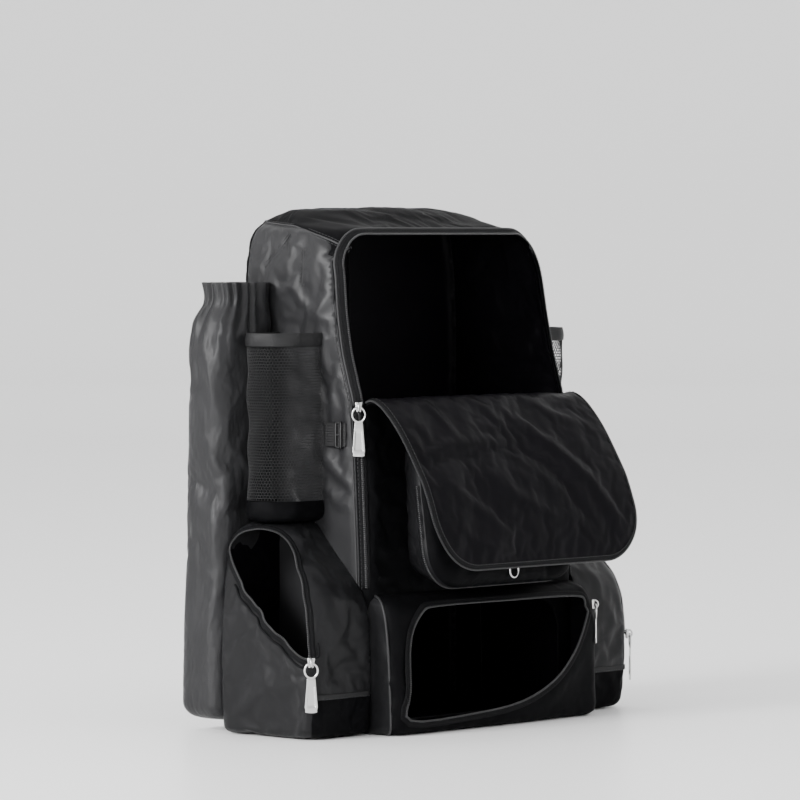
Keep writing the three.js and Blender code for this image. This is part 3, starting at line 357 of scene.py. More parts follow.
class Shell:
    """A wall of level rings, unrolled flat: u is millimetres round a middle ring and v the way up."""

    def __init__(self, ring, first, last, middle):
        self.ring = ring
        left, right, front, back, corner, back_corner, _ = ring(middle)
        arc, back_arc = corner * math.pi / 2, back_corner * math.pi / 2
        side = back - back_corner - front - corner
        runs = [side, arc, right - left - 2 * corner, arc, side, back_arc, right - left - 2 * back_corner,
            back_arc]
        stops = [first, *[k for k in range(math.ceil(first), math.floor(last) + 1) if first < k < last], last]
        self.stops = [(first, 0.0)]
        for a, b in zip(stops, stops[1:]):
            self.stops.append((b, self.stops[-1][1] + runs[math.floor(a) % 8] * (b - a)))
        self.width = self.stops[-1][1]

    def q_of(self, u):
        for (qa, ua), (qb, ub) in zip(self.stops, self.stops[1:]):
            if u <= ub or qb == self.stops[-1][0]:
                return between(qa, qb, (u - ua) / (ub - ua))

    def u_of(self, q):
        for (qa, ua), (qb, ub) in zip(self.stops, self.stops[1:]):
            if q <= qb or qb == self.stops[-1][0]:
                return between(ua, ub, (q - qa) / (qb - qa))

    def point(self, u, v):
        left, right, front, back, corner, back_corner, z = self.ring(v)
        q = min(max(self.q_of(u), self.stops[0][0]), self.stops[-1][0])
        x, y = ring_point(q if q < self.stops[-1][0] else q - 1e-9, left, right, front, back, corner,
            back_corner)
        return Vector((x, y, z))

    def normal(self, u, v, e=1.5):
        du = self.point(u + e, v) - self.point(u - e, v)
        dv = self.point(u, v + e) - self.point(u, v - e)
        return du.cross(dv).normalized()

    def squeeze(self, v):
        """How much shorter the ring at v is than the unrolled width."""
        count = 40
        places = [self.point(self.width * i / count, v) for i in range(count + 1)]
        return max(sum((b - a).length for a, b in zip(places, places[1:])) / self.width, 0.02)

    def front_u(self, x, v):
        """Where the ray from the front at x meets the ring at v."""
        left, right, _, _, corner, _, _ = self.ring(v)
        if x < left + corner:
            reach = min(max((left + corner - x) / corner, 0), 1)
            return self.u_of(1 + math.acos(reach) / (math.pi / 2))
        if x > right - corner:
            reach = min(max((x - right + corner) / corner, 0), 1)
            return self.u_of(3 + math.asin(reach) / (math.pi / 2))
        return self.u_of(2 + (x - left - corner) / (right - left - 2 * corner))

    def left_u(self, y, v):
        """Where the ray from the left at y meets the ring at v."""
        _, _, front, back, corner, back_corner, _ = self.ring(v)
        if y < front + corner:
            reach = min(max((front + corner - y) / corner, 0), 1)
            return self.u_of(1 + math.asin(reach) / (math.pi / 2))
        if y > back - back_corner:
            reach = min(max((y - back + back_corner) / back_corner, 0), 1)
            return self.u_of(-math.asin(reach) / (math.pi / 2))
        return self.u_of((back - back_corner - y) / (back - back_corner - front - corner))


def evenly(line, spacing, closed=False):
    """Points at equal steps along a line of points, which keeps its ends."""
    line = [Vector(p) for p in line]
    if closed:
        line.append(line[0].copy())
    lengths = [0.0]
    for a, b in zip(line, line[1:]):
        lengths.append(lengths[-1] + (b - a).length)
    count = max(3 if closed else 1, round(lengths[-1] / spacing))
    out, i = [], 1
    for k in range(count + (0 if closed else 1)):
        want = lengths[-1] * k / count
        while i < len(line) - 1 and lengths[i] < want:
            i += 1
        span = lengths[i] - lengths[i - 1]
        out.append(line[i - 1].lerp(line[i], (want - lengths[i - 1]) / span if span else 0.0))
    return out


def smooth_line(line, closed=False, steps=6):
    """A curve through a line of points."""
    pts = [Vector(p) for p in line]
    n = len(pts)
    out = []
    for i in range(n if closed else n - 1):
        a, b, c, d = ((pts[(i + k) % n] if closed else pts[min(max(i + k, 0), n - 1)]) for k in (-1, 0, 1, 2))
        for s in range(steps):
            t = s / steps
            out.append(0.5 * (2 * b + (c - a) * t + (2 * a - 5 * b + 4 * c - d) * t * t + (3 * b - a - 3 * c
                + d) * t**3))
    if not closed:
        out.append(pts[-1])
    return out


def tree_of(points):
    """Finds the nearest of some flat points."""
    tree = kdtree.KDTree(len(points))
    for i, p in enumerate(points):
        tree.insert((p[0], p[1], 0), i)
    tree.balance()
    return tree


def within(loop, points):
    """Which of the flat points lie inside a closed loop."""
    loop = np.array([(p[0], p[1]) for p in loop])
    inside = np.zeros(len(points), bool)
    for (xa, ya), (xb, yb) in zip(loop, np.roll(loop, -1, 0)):
        crosses = (ya > points[:, 1]) != (yb > points[:, 1])
        if ya != yb:
            inside ^= crosses & (points[:, 0] < (xb - xa) * (points[:, 1] - ya) / (yb - ya) + xa)
    return inside


def cut_cloth(outline, holes=(), lines=(), spacing=6.5, squeeze=lambda v: 1.0):
    """A flat piece of cloth in triangles: points, faces, and the points on each edge or seam."""
    chance = random.Random(11)
    points, edges, marks = [], [], []
    for number, line in enumerate([outline, *holes, *lines]):
        closed = number <= len(holes)
        run = evenly([(p[0], p[1], 0) for p in line], spacing, closed)
        start = len(points)
        points += [(p.x, p.y) for p in run]
        marks += [number] * len(run)
        count = len(run)
        edges += [(start + i, start + (i + 1) % count) for i in range(count if closed else count - 1)]
    tree = tree_of(points)
    flat = np.array([(p[0], p[1]) for p in outline])
    (u0, v0), (u1, v1) = flat.min(0), flat.max(0)
    guesses, v, row = [], v0 + spacing * 0.6, 0
    while v < v1:
        step = spacing / squeeze(v)
        u = u0 + step * (0.5 if row % 2 else 1.0)
        while u < u1:
            guesses.append((u + chance.uniform(-0.16, 0.16) * step, v + chance.uniform(-0.16, 0.16) * spacing))
            u += step
        v += spacing * 0.87
        row += 1
    guesses = np.array(guesses)
    keep = within(outline, guesses)
    for hole in holes:
        keep &= ~within(hole, guesses)
    for u, v in guesses[keep]:
        if tree.find((u, v, 0))[2] > spacing * 0.62:
            points.append((u, v))
            marks.append(-1)
    made = geometry.delaunay_2d_cdt([Vector(p) for p in points], edges, [], 0, 1e-3)
    verts, faces, sources = made[0], made[2], made[3]
    middles = np.array([[sum(verts[i][c] for i in f) / len(f) for c in (0, 1)] for f in faces])
    keep = within(outline, middles)
    for hole in holes:
        keep &= ~within(hole, middles)
    seams = [set() for _ in range(1 + len(holes) + len(lines))]
    for i, found in enumerate(sources):
        for k in found:
            if marks[k] >= 0:
                seams[marks[k]].add(i)
    return [tuple(p) for p in verts], [tuple(f) for f, k in zip(faces, keep) if k], seams


def folds_at(folds, points):
    """The height of folds over flat points. A fold is a line of points, a half width and a height."""
    points = np.array(points, float)
    total = np.zeros(len(points))
    for line, width, height in folds:
        nearest = np.full(len(points), 1e9)
        along = np.zeros(len(points))
        count = len(line) - 1
        for i, (a, b) in enumerate(zip(line, line[1:])):
            a, b = np.array(a, float), np.array(b, float)
            share = np.clip(((points - a) @ (b - a)) / max((b - a) @ (b - a), 1e-9), 0, 1)
            away = np.linalg.norm(points - a - share[:, None] * (b - a), axis=1)
            closer = away < nearest
            nearest[closer] = away[closer]
            along[closer] = (i + share[closer]) / count
        total += height * np.exp(-((nearest / width) ** 2)) * np.clip(np.sin(np.pi * (0.12 + 0.76 * along)),
            0, 1)
    return total


def apart(rows):
    """Two lists from pairs of a place and a normal."""
    return [place for place, _ in rows], [normal for _, normal in rows]


def flat_middle(piece, face):
    """The middle of a face in the cloth's flat coordinates, in metres."""
    layer = piece.data.uv_layers[0].data
    return sum((layer[k].uv for k in face.loop_indices), Vector((0, 0))) / len(face.loop_indices)


def to_metres(p):
    return (p[0] * MM, (p[1] + DEPTH / 2) * MM, p[2] * MM)


def new_piece(name, places, faces, finish, uvs=None):
    """A mesh in the row frame, with its flat coordinates in metres, at the origin."""
    mesh = bpy.data.meshes.new(name)
    mesh.from_pydata([to_metres(p) for p in places], [], faces)
    layer = mesh.uv_layers.new(name="flat")
    if uvs is not None:
        flat = np.array([(u[0] * MM, u[1] * MM) for u in uvs])
        corners = np.zeros(len(mesh.loops), int)
        mesh.loops.foreach_get("vertex_index", corners)
        layer.data.foreach_set("uv", flat[corners].ravel())
    mesh.validate()
    mesh.shade_smooth()
    piece = bpy.data.objects.new(name, mesh)
    bpy.context.scene.collection.objects.link(piece)
    for f in finish if isinstance(finish, (list, tuple)) else [finish]:
        piece.data.materials.append(finish_named(f))
    return piece


def duplicate(piece, name):
    twin = piece.copy()
    twin.data = piece.data.copy()
    twin.name = twin.data.name = name
    bpy.context.scene.collection.objects.link(twin)
    return twin


def without_tags(piece):
    for key in list(piece.keys()):
        if key.startswith("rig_"):
            del piece[key]
    piece.parent = None


def primitive(kind, **values):
    """One of Blender's own meshes, with its place and size applied."""
    bpy.ops.object.select_all(action="DESELECT")
    getattr(bpy.ops.mesh, f"primitive_{kind}_add")(**values)
    bpy.ops.object.transform_apply(location=True, rotation=True, scale=True)
    return bpy.context.object


def only(piece):
    bpy.ops.object.select_all(action="DESELECT")
    piece.hide_set(False)
    piece.select_set(True)
    bpy.context.view_layer.objects.active = piece


def apply_all(piece):
    only(piece)
    for modifier in list(piece.modifiers):
        bpy.ops.object.modifier_apply(modifier=modifier.name)


def merge_points(piece, distance=0.0002):
    mesh = bmesh.new()
    mesh.from_mesh(piece.data)
    bmesh.ops.remove_doubles(mesh, verts=mesh.verts, dist=distance)
    mesh.to_mesh(piece.data)
    mesh.free()


def settle(piece, slack, pressure=0.0, limit=0.009, stiff=0.6, frames=None):
    """Cloth a little larger than its place buckles into folds between the seams that hold it."""
    sizes = bpy.context.scene.bag_sizes
    frames = frames or sizes.frames
    rest = np.zeros(len(piece.data.vertices) * 3)
    piece.data.vertices.foreach_get("co", rest)
    modifier = piece.modifiers.new("settling", "CLOTH")
    cloth = modifier.settings
    cloth.vertex_group_mass = "sewn"
    cloth.quality = 4
    cloth.mass = 0.12
    cloth.tension_stiffness = cloth.compression_stiffness = 12
    cloth.shear_stiffness = 5
    cloth.bending_stiffness = stiff
    cloth.air_damping = 2
    cloth.shrink_min = -slack
    cloth.effector_weights.gravity = 0
    if pressure:
        cloth.use_pressure = True
        cloth.uniform_pressure_force = pressure
    modifier.collision_settings.use_collision = False
    modifier.point_cache.frame_start, modifier.point_cache.frame_end = 1, frames
    scene = bpy.context.scene
    chance = np.random.default_rng(7)
    sewn = {v.index for v in piece.data.vertices if v.groups}
    stir = chance.normal(0, 0.2 * MM, (len(piece.data.vertices), 3))
    stir[sorted(sewn)] = 0
    piece.data.vertices.foreach_set("co", rest + stir.ravel())
    for number in range(1, frames + 1):
        scene.frame_set(number)
    found = piece.evaluated_get(bpy.context.evaluated_depsgraph_get()).data
    moved = np.zeros(len(rest))
    found.vertices.foreach_get("co", moved)
    shift = (moved - rest).reshape(-1, 3)
    length = np.linalg.norm(shift, axis=1)
    shift *= np.minimum(1, limit / np.maximum(length, 1e-9))[:, None]
    piece.modifiers.remove(modifier)
    scene.frame_set(1)
    piece.data.vertices.foreach_set("co", rest + shift.ravel())
    piece.data.update()


def sew_down(piece, numbers):
    group = piece.vertex_groups.get("sewn") or piece.vertex_groups.new(name="sewn")
    group.add(sorted(int(i) for i in numbers), 1.0, "REPLACE")


def finish_wall(piece, wall, inner=None, levels=1, side=-1.0):
    """Rounds the cloth once and gives it its thickness, with a finish of its own inside."""
    if levels:
        rounding = piece.modifiers.new("rounding", "SUBSURF")
        rounding.levels = rounding.render_levels = levels
        rounding.boundary_smooth = "PRESERVE_CORNERS"
    if wall:
        thick = piece.modifiers.new("wall", "SOLIDIFY")
        thick.thickness = wall
        thick.offset = side
        thick.use_even_offset = False
        if inner:
            if inner != "own":
                piece.data.materials.append(finish_named(inner))
            thick.material_offset = 1
    apply_all(piece)
    piece.data.shade_smooth()


def ready(piece, slot, *nodes, body="bag"):
    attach(piece, body)
    if nodes:
        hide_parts(*nodes)
    return piece


def mirrored(piece, name):
    """The same piece on the other side of the bag."""
    twin = duplicate(piece, name)
    without_tags(twin)
    twin.data.transform(Matrix.Scale(-1, 4, (1, 0, 0)))
    twin.data.flip_normals()
    return twin


def frames_along(places, normals, closed):
    """The way along, across and out at each point of a line on a surface."""
    count = len(places)
    out = []
    for i, (p, n) in enumerate(zip(places, normals)):
        before = places[(i - 1) % count] if closed else places[max(i - 1, 0)]
        after = places[(i + 1) % count] if closed else places[min(i + 1, count - 1)]
        along = (after - before).normalized()
        normal = (n - along * n.dot(along)).normalized()
        out.append((p, along, along.cross(normal), normal))
    return out


def sweep(name, places, normals, section, finish, closed=False, closed_section=True):
    """A strip or tube of one section, given as (across, out), swept along a line."""
    rows = frames_along(places, normals, closed)
    size = len(section)
    verts, uvs = [], []
    ways = [0.0]
    for a, b in zip(places, places[1:]):
        ways.append(ways[-1] + (b - a).length)
    round_way = [0.0]
    for a, b in zip(section, section[1:]):
        round_way.append(round_way[-1] + math.dist(a, b))
    for (p, along, across, out), way in zip(rows, ways):
        for (a, o), turn in zip(section, round_way):
            verts.append(p + across * a + out * o)
            uvs.append((way, turn))
    faces = []
    last = len(rows) if closed else len(rows) - 1
    for i in range(last):
        j = (i + 1) % len(rows)
        for k in range(size if closed_section else size - 1):
            m = (k + 1) % size
            faces.append((i * size + k, j * size + k, j * size + m, i * size + m))
    if closed_section and not closed:
        faces.append(tuple(range(size)))
        faces.append(tuple(len(verts) - 1 - k for k in range(size)))
    return new_piece(name, verts, faces, finish, uvs)


def tube(name, places, normals, radius, finish, closed=False, sides=8):
    section = [(radius * math.cos(2 * math.pi * k / sides), radius * math.sin(2 * math.pi * k / sides))
        for k in range(sides)]
    return sweep(name, places, normals, section, finish, closed)


def ribbon(width, thick, low=0.0, bevel=0.25):
    """The section of a flat tape with soft edges, lying on the cloth."""
    w, t = width / 2, thick
    return [(w, low + t * 0.3), (w - bevel, low + t), (w * 0.4, low + t * 1.05), (-w * 0.4, low + t * 1.05),
        (bevel - w, low + t), (-w, low + t * 0.3), (bevel - w, low), (w - bevel, low)]


def repeated(name, spots, size, finish, rounded=0.3):
    """Many copies of one small rounded block. A spot is a place with its ways along, across and out."""
    l, w, h = (s / 2 for s in size)
    k = 1 - rounded
    block = [(-l, -w * k, -h), (l, -w * k, -h), (l, w * k, -h), (-l, w * k, -h), (-l * k, -w * k, h), (l * k,
        -w * k, h), (l * k, w * k, h), (-l * k, w * k, h), (-l, -w, 0), (l, -w, 0), (l, w, 0), (-l, w, 0)]
    shape = [(3, 2, 1, 0), (4, 5, 6, 7), (0, 1, 9, 8), (8, 9, 5, 4), (1, 2, 10, 9), (9, 10, 6, 5), (2, 3, 11,
        10), (10, 11, 7, 6), (3, 0, 8, 11), (11, 8, 4, 7)]
    verts, faces, uvs = [], [], []
    for p, along, across, out in spots:
        start = len(verts)
        for a, b, c in block:
            verts.append(p + along * a - across * b + out * c)
            uvs.append((a, b))
        faces += [tuple(start + i for i in f) for f in shape]
    return new_piece(name, verts, faces, finish, uvs)


def spots_along(places, normals, step, across=0.0, out=0.0, closed=False, skip=0):
    """Places at equal steps along a line, moved across it and out of the cloth."""
    rows = frames_along(places, normals, closed)
    if closed:
        rows = rows + rows[:1]
    lengths = [0.0]
    for a, b in zip(rows, rows[1:]):
        lengths.append(lengths[-1] + (b[0] - a[0]).length)
    count = max(2, round(lengths[-1] / step))
    spots, i = [], 1
    for k in range(skip, count - skip):
        want = lengths[-1] * (k + 0.5) / count
        while i < len(rows) - 1 and lengths[i] < want:
            i += 1
        share = (want - lengths[i - 1]) / max(lengths[i] - lengths[i - 1], 1e-9)
        p, along, side, normal = (rows[i - 1][c].lerp(rows[i][c], share) for c in range(4))
        along, side, normal = along.normalized(), side.normalized(), normal.normalized()
        spots.append((p + side * across + normal * out, along, side, normal))
    return spots


def stitching(name, places, normals, across=0.0, out=0.15, closed=False, finish="binding"):
    length = bpy.context.scene.bag_sizes.stitch / MM
    spots = spots_along(places, normals, length * 1.35, across, out, closed)
    return repeated(name, spots, (length, 0.7, 0.5), finish, 0.5)


def joined(name, pieces):
    """Several like pieces as one."""
    only(pieces[0])
    for p in pieces[1:]:
        p.select_set(True)
    if len(pieces) > 1:
        bpy.ops.object.join()
    whole = bpy.context.view_layer.objects.active
    whole.name = whole.data.name = name
    return whole


def open_zip(name, places, normals, node, closed=False, side=1.0, width=None):
    """Tape with a row of teeth along its free edge, a row of stitches and a thin bound edge."""
    sizes = bpy.context.scene.bag_sizes
    width = width or sizes.tape / MM
    tape = sweep(name + "_tape", places, normals, ribbon(width, 0.7, 0.5), "tape", closed)
    edge = side * (width / 2 - 0.6)
    pitch = sizes.tooth / MM
    teeth = repeated(name + "_coil", spots_along(places, normals, pitch, edge, 1.35, closed), (pitch * 0.68,
        2.4, 1.7), "teeth")
    cord = tube(name + "_cord", [p + a * (edge - side * 1.6) + o * 1.35 for p, _, a, o in frames_along(places,
        normals, closed)], normals, 0.45, "tape", closed, 6)
    threads = stitching(name + "_threads", places, normals, -side * width * 0.22, 1.3, closed, "tape")
    whole = joined(name, [tape, teeth, cord, threads])
    return ready(whole, "zip", node)


def closed_zip(name, places, normals, node, width=None):
    """Two tapes that meet at a coil."""
    sizes = bpy.context.scene.bag_sizes
    width = width or sizes.tape / MM
    pitch = sizes.tooth / MM
    left = sweep(name + "_tape", places, normals, ribbon(width, 0.7, 0.5), "tape")
    coil = repeated(name + "_coil", spots_along(places, normals, pitch, 0, 1.5), (pitch * 0.72, 3.4, 1.9),
        "teeth")
    threads = [stitching(name + "_threads", places, normals, k * width * 0.34, 1.3, finish="tape")
        for k in (-1, 1)]
    return ready(joined(name, [left, coil, *threads]), "zip", node)


# The body


def body_ring(v):
    """The ring at v, which goes on over the crown past the last table row."""
    crown = [(0.92 * HEIGHT, 0.92), (536, 0.951), (556, 0.974), (578, 0.99), (602, 1.0), (640, 1.004)]
    if v <= crown[0][0]:
        up = v / HEIGHT
    else:
        i = 0
        while i < len(crown) - 2 and v > crown[i + 1][0]:
            i += 1
        (va, ua), (vb, ub) = crown[i], crown[i + 1]
        up = between(ua, ub, min((v - va) / (vb - va), 1))
    wide, front, back, corner = BODY.at(min(up, 1.0))
    z = HEIGHT * min(up, 1.0)
    close = max(0.0, up - 1.0) / 0.004
    half = HALF * wide * (1 - 0.985 * close)
    middle = (front + back) / 2
    front, back = between(front, middle + 0.002, close), between(back, middle - 0.002, close)
    corner = min(CORNER * corner * (1 - 0.97 * close), half - 0.1, DEPTH * (front - back) / 2 - 0.1)
    back_corner = min(BACK_CORNER * (1 - 0.97 * close), DEPTH * (front - back) / 2 - 0.1, half - 0.1)
    return -half, half, -DEPTH * front, -DEPTH * back, max(corner, 0.05), max(back_corner, 0.05), z


BODY = Rows(BODY_ROWS)
body = Shell(body_ring, -1.5, 6.5, 150.0)
BODY_TOP = 640.0


def body_half(z):
    return body_ring(z)[1]


def body_front(z):
    return body_ring(z)[2]


def opening_edge():
    """The edge of the main opening as (x, z), from the left end of the sill over the top to the right end."""
    shoulder = OPENING_TOP - OPENING_CORNER
    left = [(-(body_half(z) - LIP), z) for z in np.linspace(SILL, shoulder, 9)]
    half = body_half(shoulder) - LIP
    corner = [(-half + OPENING_CORNER * (1 - math.cos(math.radians(a))), shoulder + OPENING_CORNER
        * math.sin(math.radians(a))) for a in range(10, 91, 10)]
    one = left + corner
    return one + [(-x, z) for x, z in reversed(one)]


def on_body(x, z):
    u = body.front_u(x, z)
    return body.point(u, z), body.normal(u, z)


def side_fold(line, width, height):
    """A fold on the left side panel, given by (y, z)."""
    return [(body.left_u(y, z), z) for y, z in line], width, height


CROWN_SEAM = [(-12, 549), (-44, 546), (-66, 544), (-96, 537), (-120, 530), (-140, 521)]
DART = [(-64, 536), (-56, 523), (-44, 511), (-35, 500)]
SIDE_SEAM = [(-89, 520), (-91, 506), (-91, 479)]


def body_v(z):
    """The flat height of the level z, on the crown too."""
    for (va, za), (vb, zb) in zip([(519.8, 519.8), (536, 537.3), (556, 550.3), (578, 559.4)], [(536, 537.3),
            (556, 550.3), (578, 559.4), (602, 565)]):
        if za <= z <= zb:
            return between(va, vb, (z - za) / (zb - za))
    return min(z, 602)


def side_line(points, end=None, step=4.0):
    """A line of the left side panel, given by (y, z), in flat coordinates."""
    line = evenly(smooth_line([(y, z, 0) for y, z in points], False, 6), step)
    flat = [(body.left_u(p.x, body_v(p.y)), body_v(p.y)) for p in line]
    if end:
        last = flat[-1]
        count = max(2, round(math.dist(last, end) / step))
        flat += [(between(last[0], end[0], k / count), between(last[1], end[1], k / count)) for k in range(1,
            count + 1)]
    return flat


def crown_seam():
    start = (body.u_of(0.0), body_v(549))
    line = side_line(CROWN_SEAM, (body.u_of(1.25), 508))
    return [start] + [p for p in line if p[0] > start[0] + 2]


def other_side(line):
    return [(body.u_of(5.0) - (u - body.u_of(0.0)), v) for u, v in line]


def build_body():
    sizes = bpy.context.scene.bag_sizes
    spacing = sizes.cloth_grid / MM
    outline = [(0, 0), (body.width, 0), (body.width, BODY_TOP), (0, BODY_TOP)]
    edge = opening_edge()
    mouth = [(body.front_u(x, z), z) for x, z in edge]
    half = SHOE_MOUTH_HALF - 12
    tunnel = [(body.front_u(x, z), z) for x, z in [(-half, 44), (-half, 102), (-half + 9, 123), (-half + 30,
        132), (half - 30, 132), (half - 9, 123), (half, 102), (half, 44), (half - 9, 23), (half - 30, 14), (30
        - half, 14), (9 - half, 23)]]
    seams = []
    for q in (0.0, 5.0):
        seams.append([(body.u_of(q), z) for z in np.linspace(2, 556, 60)])
    for q in (1.25, 3.75):
        seams.append([(body.u_of(q), z) for z in np.linspace(2, 508, 54)])
    for line in (crown_seam(), side_line(DART), side_line(SIDE_SEAM)):
        seams += [line, other_side(line)]
    flat, faces, marks = cut_cloth(outline, [mouth, tunnel], seams, spacing, body.squeeze)
    lift = folds_at([side_fold(*row) for row in SIDE_FOLDS], flat)
    places = []
    for (u, v), up in zip(flat, lift):
        p = body.point(u, v)
        if abs(up) > 0.02:
            p = p + body.normal(u, v) * float(up)
        places.append(p)
    piece = new_piece("body_cloth", places, faces, "black", flat)
    held = set()
    for m in marks[1:]:
        held |= m
    held |= {i for i, (u, v) in enumerate(flat) if v < 6 or v > 606}
    # Behind the pockets the wall stays flat, so that they keep their seat on it.
    for i, p in enumerate(places):
        side = abs(p.x) > HALF - 2
        if side and (p.y > -63 and p.z < 474 or p.z < 236):
            held.add(i)
        if p.y < -150 and p.z < 150 or p.y > -1.5:
            held.add(i)
    sew_down(piece, held)
    merge_points(piece)
    settle(piece, sizes.slack, 0.25, 0.008, 0.5)
    split_body(piece)
    whole = [body.point(u, v) for u, v in mouth]
    normals = [body.normal(u, v) for u, v in mouth]
    return whole, normals


# Folds of the side panel: its points as (y, z), half width and height. They lie under the strap, at the
# crown seam and at the opening.
SIDE_FOLDS = [
    ([(-138, 470), (-120, 455), (-98, 432)], 6, 3.0),
    ([(-140, 440), (-126, 415), (-122, 385)], 6, 2.6),
    ([(-132, 505), (-124, 470), (-122, 430), (-128, 395)], 8, 3.2),
    ([(-136, 376), (-140, 352), (-136, 336)], 5, 2.2),
    ([(-126, 374), (-129, 352), (-126, 336)], 4.5, -2.0),
    ([(-118, 366), (-121, 348), (-118, 336)], 4.5, 1.6),
    ([(-128, 300), (-140, 286), (-158, 272)], 5, 2.6),
    ([(-126, 282), (-142, 268), (-160, 255)], 6, -2.4),
    ([(-124, 262), (-142, 252), (-162, 243)], 6, 2.4),
    ([(-120, 306), (-128, 296), (-132, 285)], 4, 2.0),
    ([(-60, 540), (-62, 520), (-72, 505)], 4, -1.6),
    ([(-76, 545), (-70, 520), (-66, 490)], 6, 2.0),
    ([(-110, 530), (-104, 500), (-100, 470)], 9, 2.4),
    ([(-84, 470), (-110, 452), (-140, 446)], 7, 1.8),
]


def split_body(piece):
    """The sewn body comes apart into its panels, and each gets its thickness."""
    sizes = bpy.context.scene.bag_sizes
    edges = [body.u_of(q) / 1000 for q in (0.0, 1.25, 3.75, 5.0)]
    names = ["back_panel", "side_panel_left", "front_panel", "side_panel_right"]
    finishes = ["black", "charcoal", "black", "charcoal"]
    kinds = []
    for face in piece.data.polygons:
        u, v = flat_middle(piece, face)
        mirror = edges[3] - (u - edges[0]) if u > edges[2] else u
        top = np.interp(mirror * 1000, *zip(*crown_seam())) / 1000
        if v > (top if edges[0] < u < edges[1] or edges[2] < u < edges[3] else 0.556):
            kinds.append(2)
        elif u < edges[0] or u > edges[3]:
            kinds.append(0)
        elif u < edges[1]:
            kinds.append(1)
        elif u > edges[2]:
            kinds.append(3)
        else:
            kinds.append(2)
    for number, (name, finish) in enumerate(zip(names, finishes)):
        panel = duplicate(piece, name)
        mesh = bmesh.new()
        mesh.from_mesh(panel.data)
        mesh.faces.ensure_lookup_table()
        gone = [f for f, k in zip(mesh.faces, kinds) if k != number]
        bmesh.ops.delete(mesh, geom=gone, context="FACES")
        mesh.to_mesh(panel.data)
        mesh.free()
        panel.data.materials[0] = finish_named(finish)
        finish_wall(panel, sizes.wall, "lining")
        ready(panel, "side_cloth" if finish == "charcoal" else "front_cloth", *(["body_shell"] if number == 2
            else []))
    bpy.data.objects.remove(piece)


class BAG_OT_body(bpy.types.Operator):
    """Sew the body, its seams, its opening's zip and the shelf inside."""

    bl_idname = "bag.body"
    bl_label = "Body"

    def execute(self, context):
        sizes = context.scene.bag_sizes
        build_body()
        # Main zip, open all round the opening, and closed down the front corners
        edge = evenly([(x, 0, z) for x, z in opening_edge()], 5)
        found = [on_body(p.x, p.z) for p in edge]
        places, normals = apart(found)
        normals = [(a + b + c).normalized() for a, b, c in zip(normals[:1] + normals[:-1], normals,
            normals[1:] + normals[-1:])]
        open_zip("main_zip_cloth", places, normals, "main_zip", side=-1.0 if across_sign(places, normals) > 0
            else 1.0)
        for name, sign in (("left", -1), ("right", 1)):
            line = [on_body(sign * (body_half(z) - LIP), z) for z in np.linspace(SILL - 4, SHOE_HEIGHT + 8, 34)]
            closed_zip("closed_zip_" + name, *apart(line), "main_zip_closed_" + name)
            outer = [on_body(sign * (body_half(z) - LIP + 5.2), z) for z in np.linspace(SILL - 10, SHOE_HEIGHT
                + 4, 34)]
            ready(tube("side_piping_" + name, *apart(outer), 1.3, "binding"), "webbing")
        # Piping a little outside the opening's edge, and on the crown seams of the sides
        rows = frames_along(places, normals, False)
        sign = 1.0 if across_sign(places, normals) > 0 else -1.0
        outside = [p + a * sign * 5.6 + n * 0.4 for p, _, a, n in rows]
        ready(tube("opening_piping", outside, normals, sizes.piping / MM * 0.9, "binding"), "webbing")
        trims = (("crown", crown_seam(), 1.2), ("dart", side_line(DART), 0.5), ("side", side_line(SIDE_SEAM),
            0.5), ("front_edge", [(body.u_of(1.25), v) for v in np.linspace(SHOE_HEIGHT + 6, 508, 90)], 0.9))
        for name, line, radius in trims:
            for side, way in SIDES:
                row = [(body.point(*p) * way, body.normal(*p) * way) for p in line]
                spots, out = apart(row)
                parts = [tube("seam", spots, out, radius, "binding" if radius > 1 else "charcoal")]
                parts += [stitching("seam_threads", spots, out, k, 0.5) for k in (-3.2, 3.2)]
                ready(joined(name + "_seam_" + side, parts), "webbing")
        centre = [Vector((0, 0.5, z)) for z in np.linspace(4, 548, 130)]
        ready(tube("back_seam", centre, [Vector((0, 1, 0))] * len(centre), 0.9, "black"), "webbing")
        for side, ends in (("left", (0.6, body.u_of(0.0))), ("right", (body.u_of(5.0), body.width - 0.6))):
            run = [(u, 556.0) for u in np.linspace(*ends, 60)]
            row = [(body.point(*p), body.normal(*p)) for p in run]
            ready(tube("back_ridge_" + side, *apart(row), 1.2, "binding"), "webbing")
        foot = [ring_point(q, *body_ring(0)[:6]) for q in np.linspace(0, 8, 200, endpoint=False)]
        foot = [(x * 0.996, (y + DEPTH / 2) * 0.992 - DEPTH / 2) for x, y in foot]
        flat, faces, _ = cut_cloth(foot, [], [], 9.0)
        base = new_piece("base_panel", [Vector((x, y, 1.6)) for x, y in flat], [f[::-1] for f in faces],
            "black", flat)
        finish_wall(base, sizes.wall, "lining", 0)
        ready(base, "front_cloth")
        # Shelf
        grid = 24
        verts, faces, uvs = [], [], []
        for i in range(grid + 1):
            for j in range(grid + 1):
                x, y = between(-169, 169, i / grid), between(-DEPTH + 6, -4, j / grid)
                x = math.copysign(min(abs(x), 169 - max(0, -y - 168) * 0.7), x)
                dip = math.sin(math.pi * i / grid) * math.sin(math.pi * j / grid)
                verts.append((x, y, SHELF + 1.6 - 0.9 * dip))
                uvs.append((x, y))
        for i in range(grid):
            for j in range(grid):
                a = i * (grid + 1) + j
                faces.append((a, a + grid + 1, a + grid + 2, a + 1))
        shelf = new_piece("shelf_cloth", verts, faces, "lining", uvs)
        finish_wall(shelf, 0.0014, None, 0)
        ready(shelf, "lining", "compartment_shelf")
        return {"FINISHED"}


def across_sign(places, normals):
    """Whether 'across' points away from the middle of the line."""
    rows = frames_along(places, normals, False)
    middle = sum(places, Vector()) / len(places)
    return sum((p - middle).dot(a) for p, _, a, _ in rows)


# Pockets


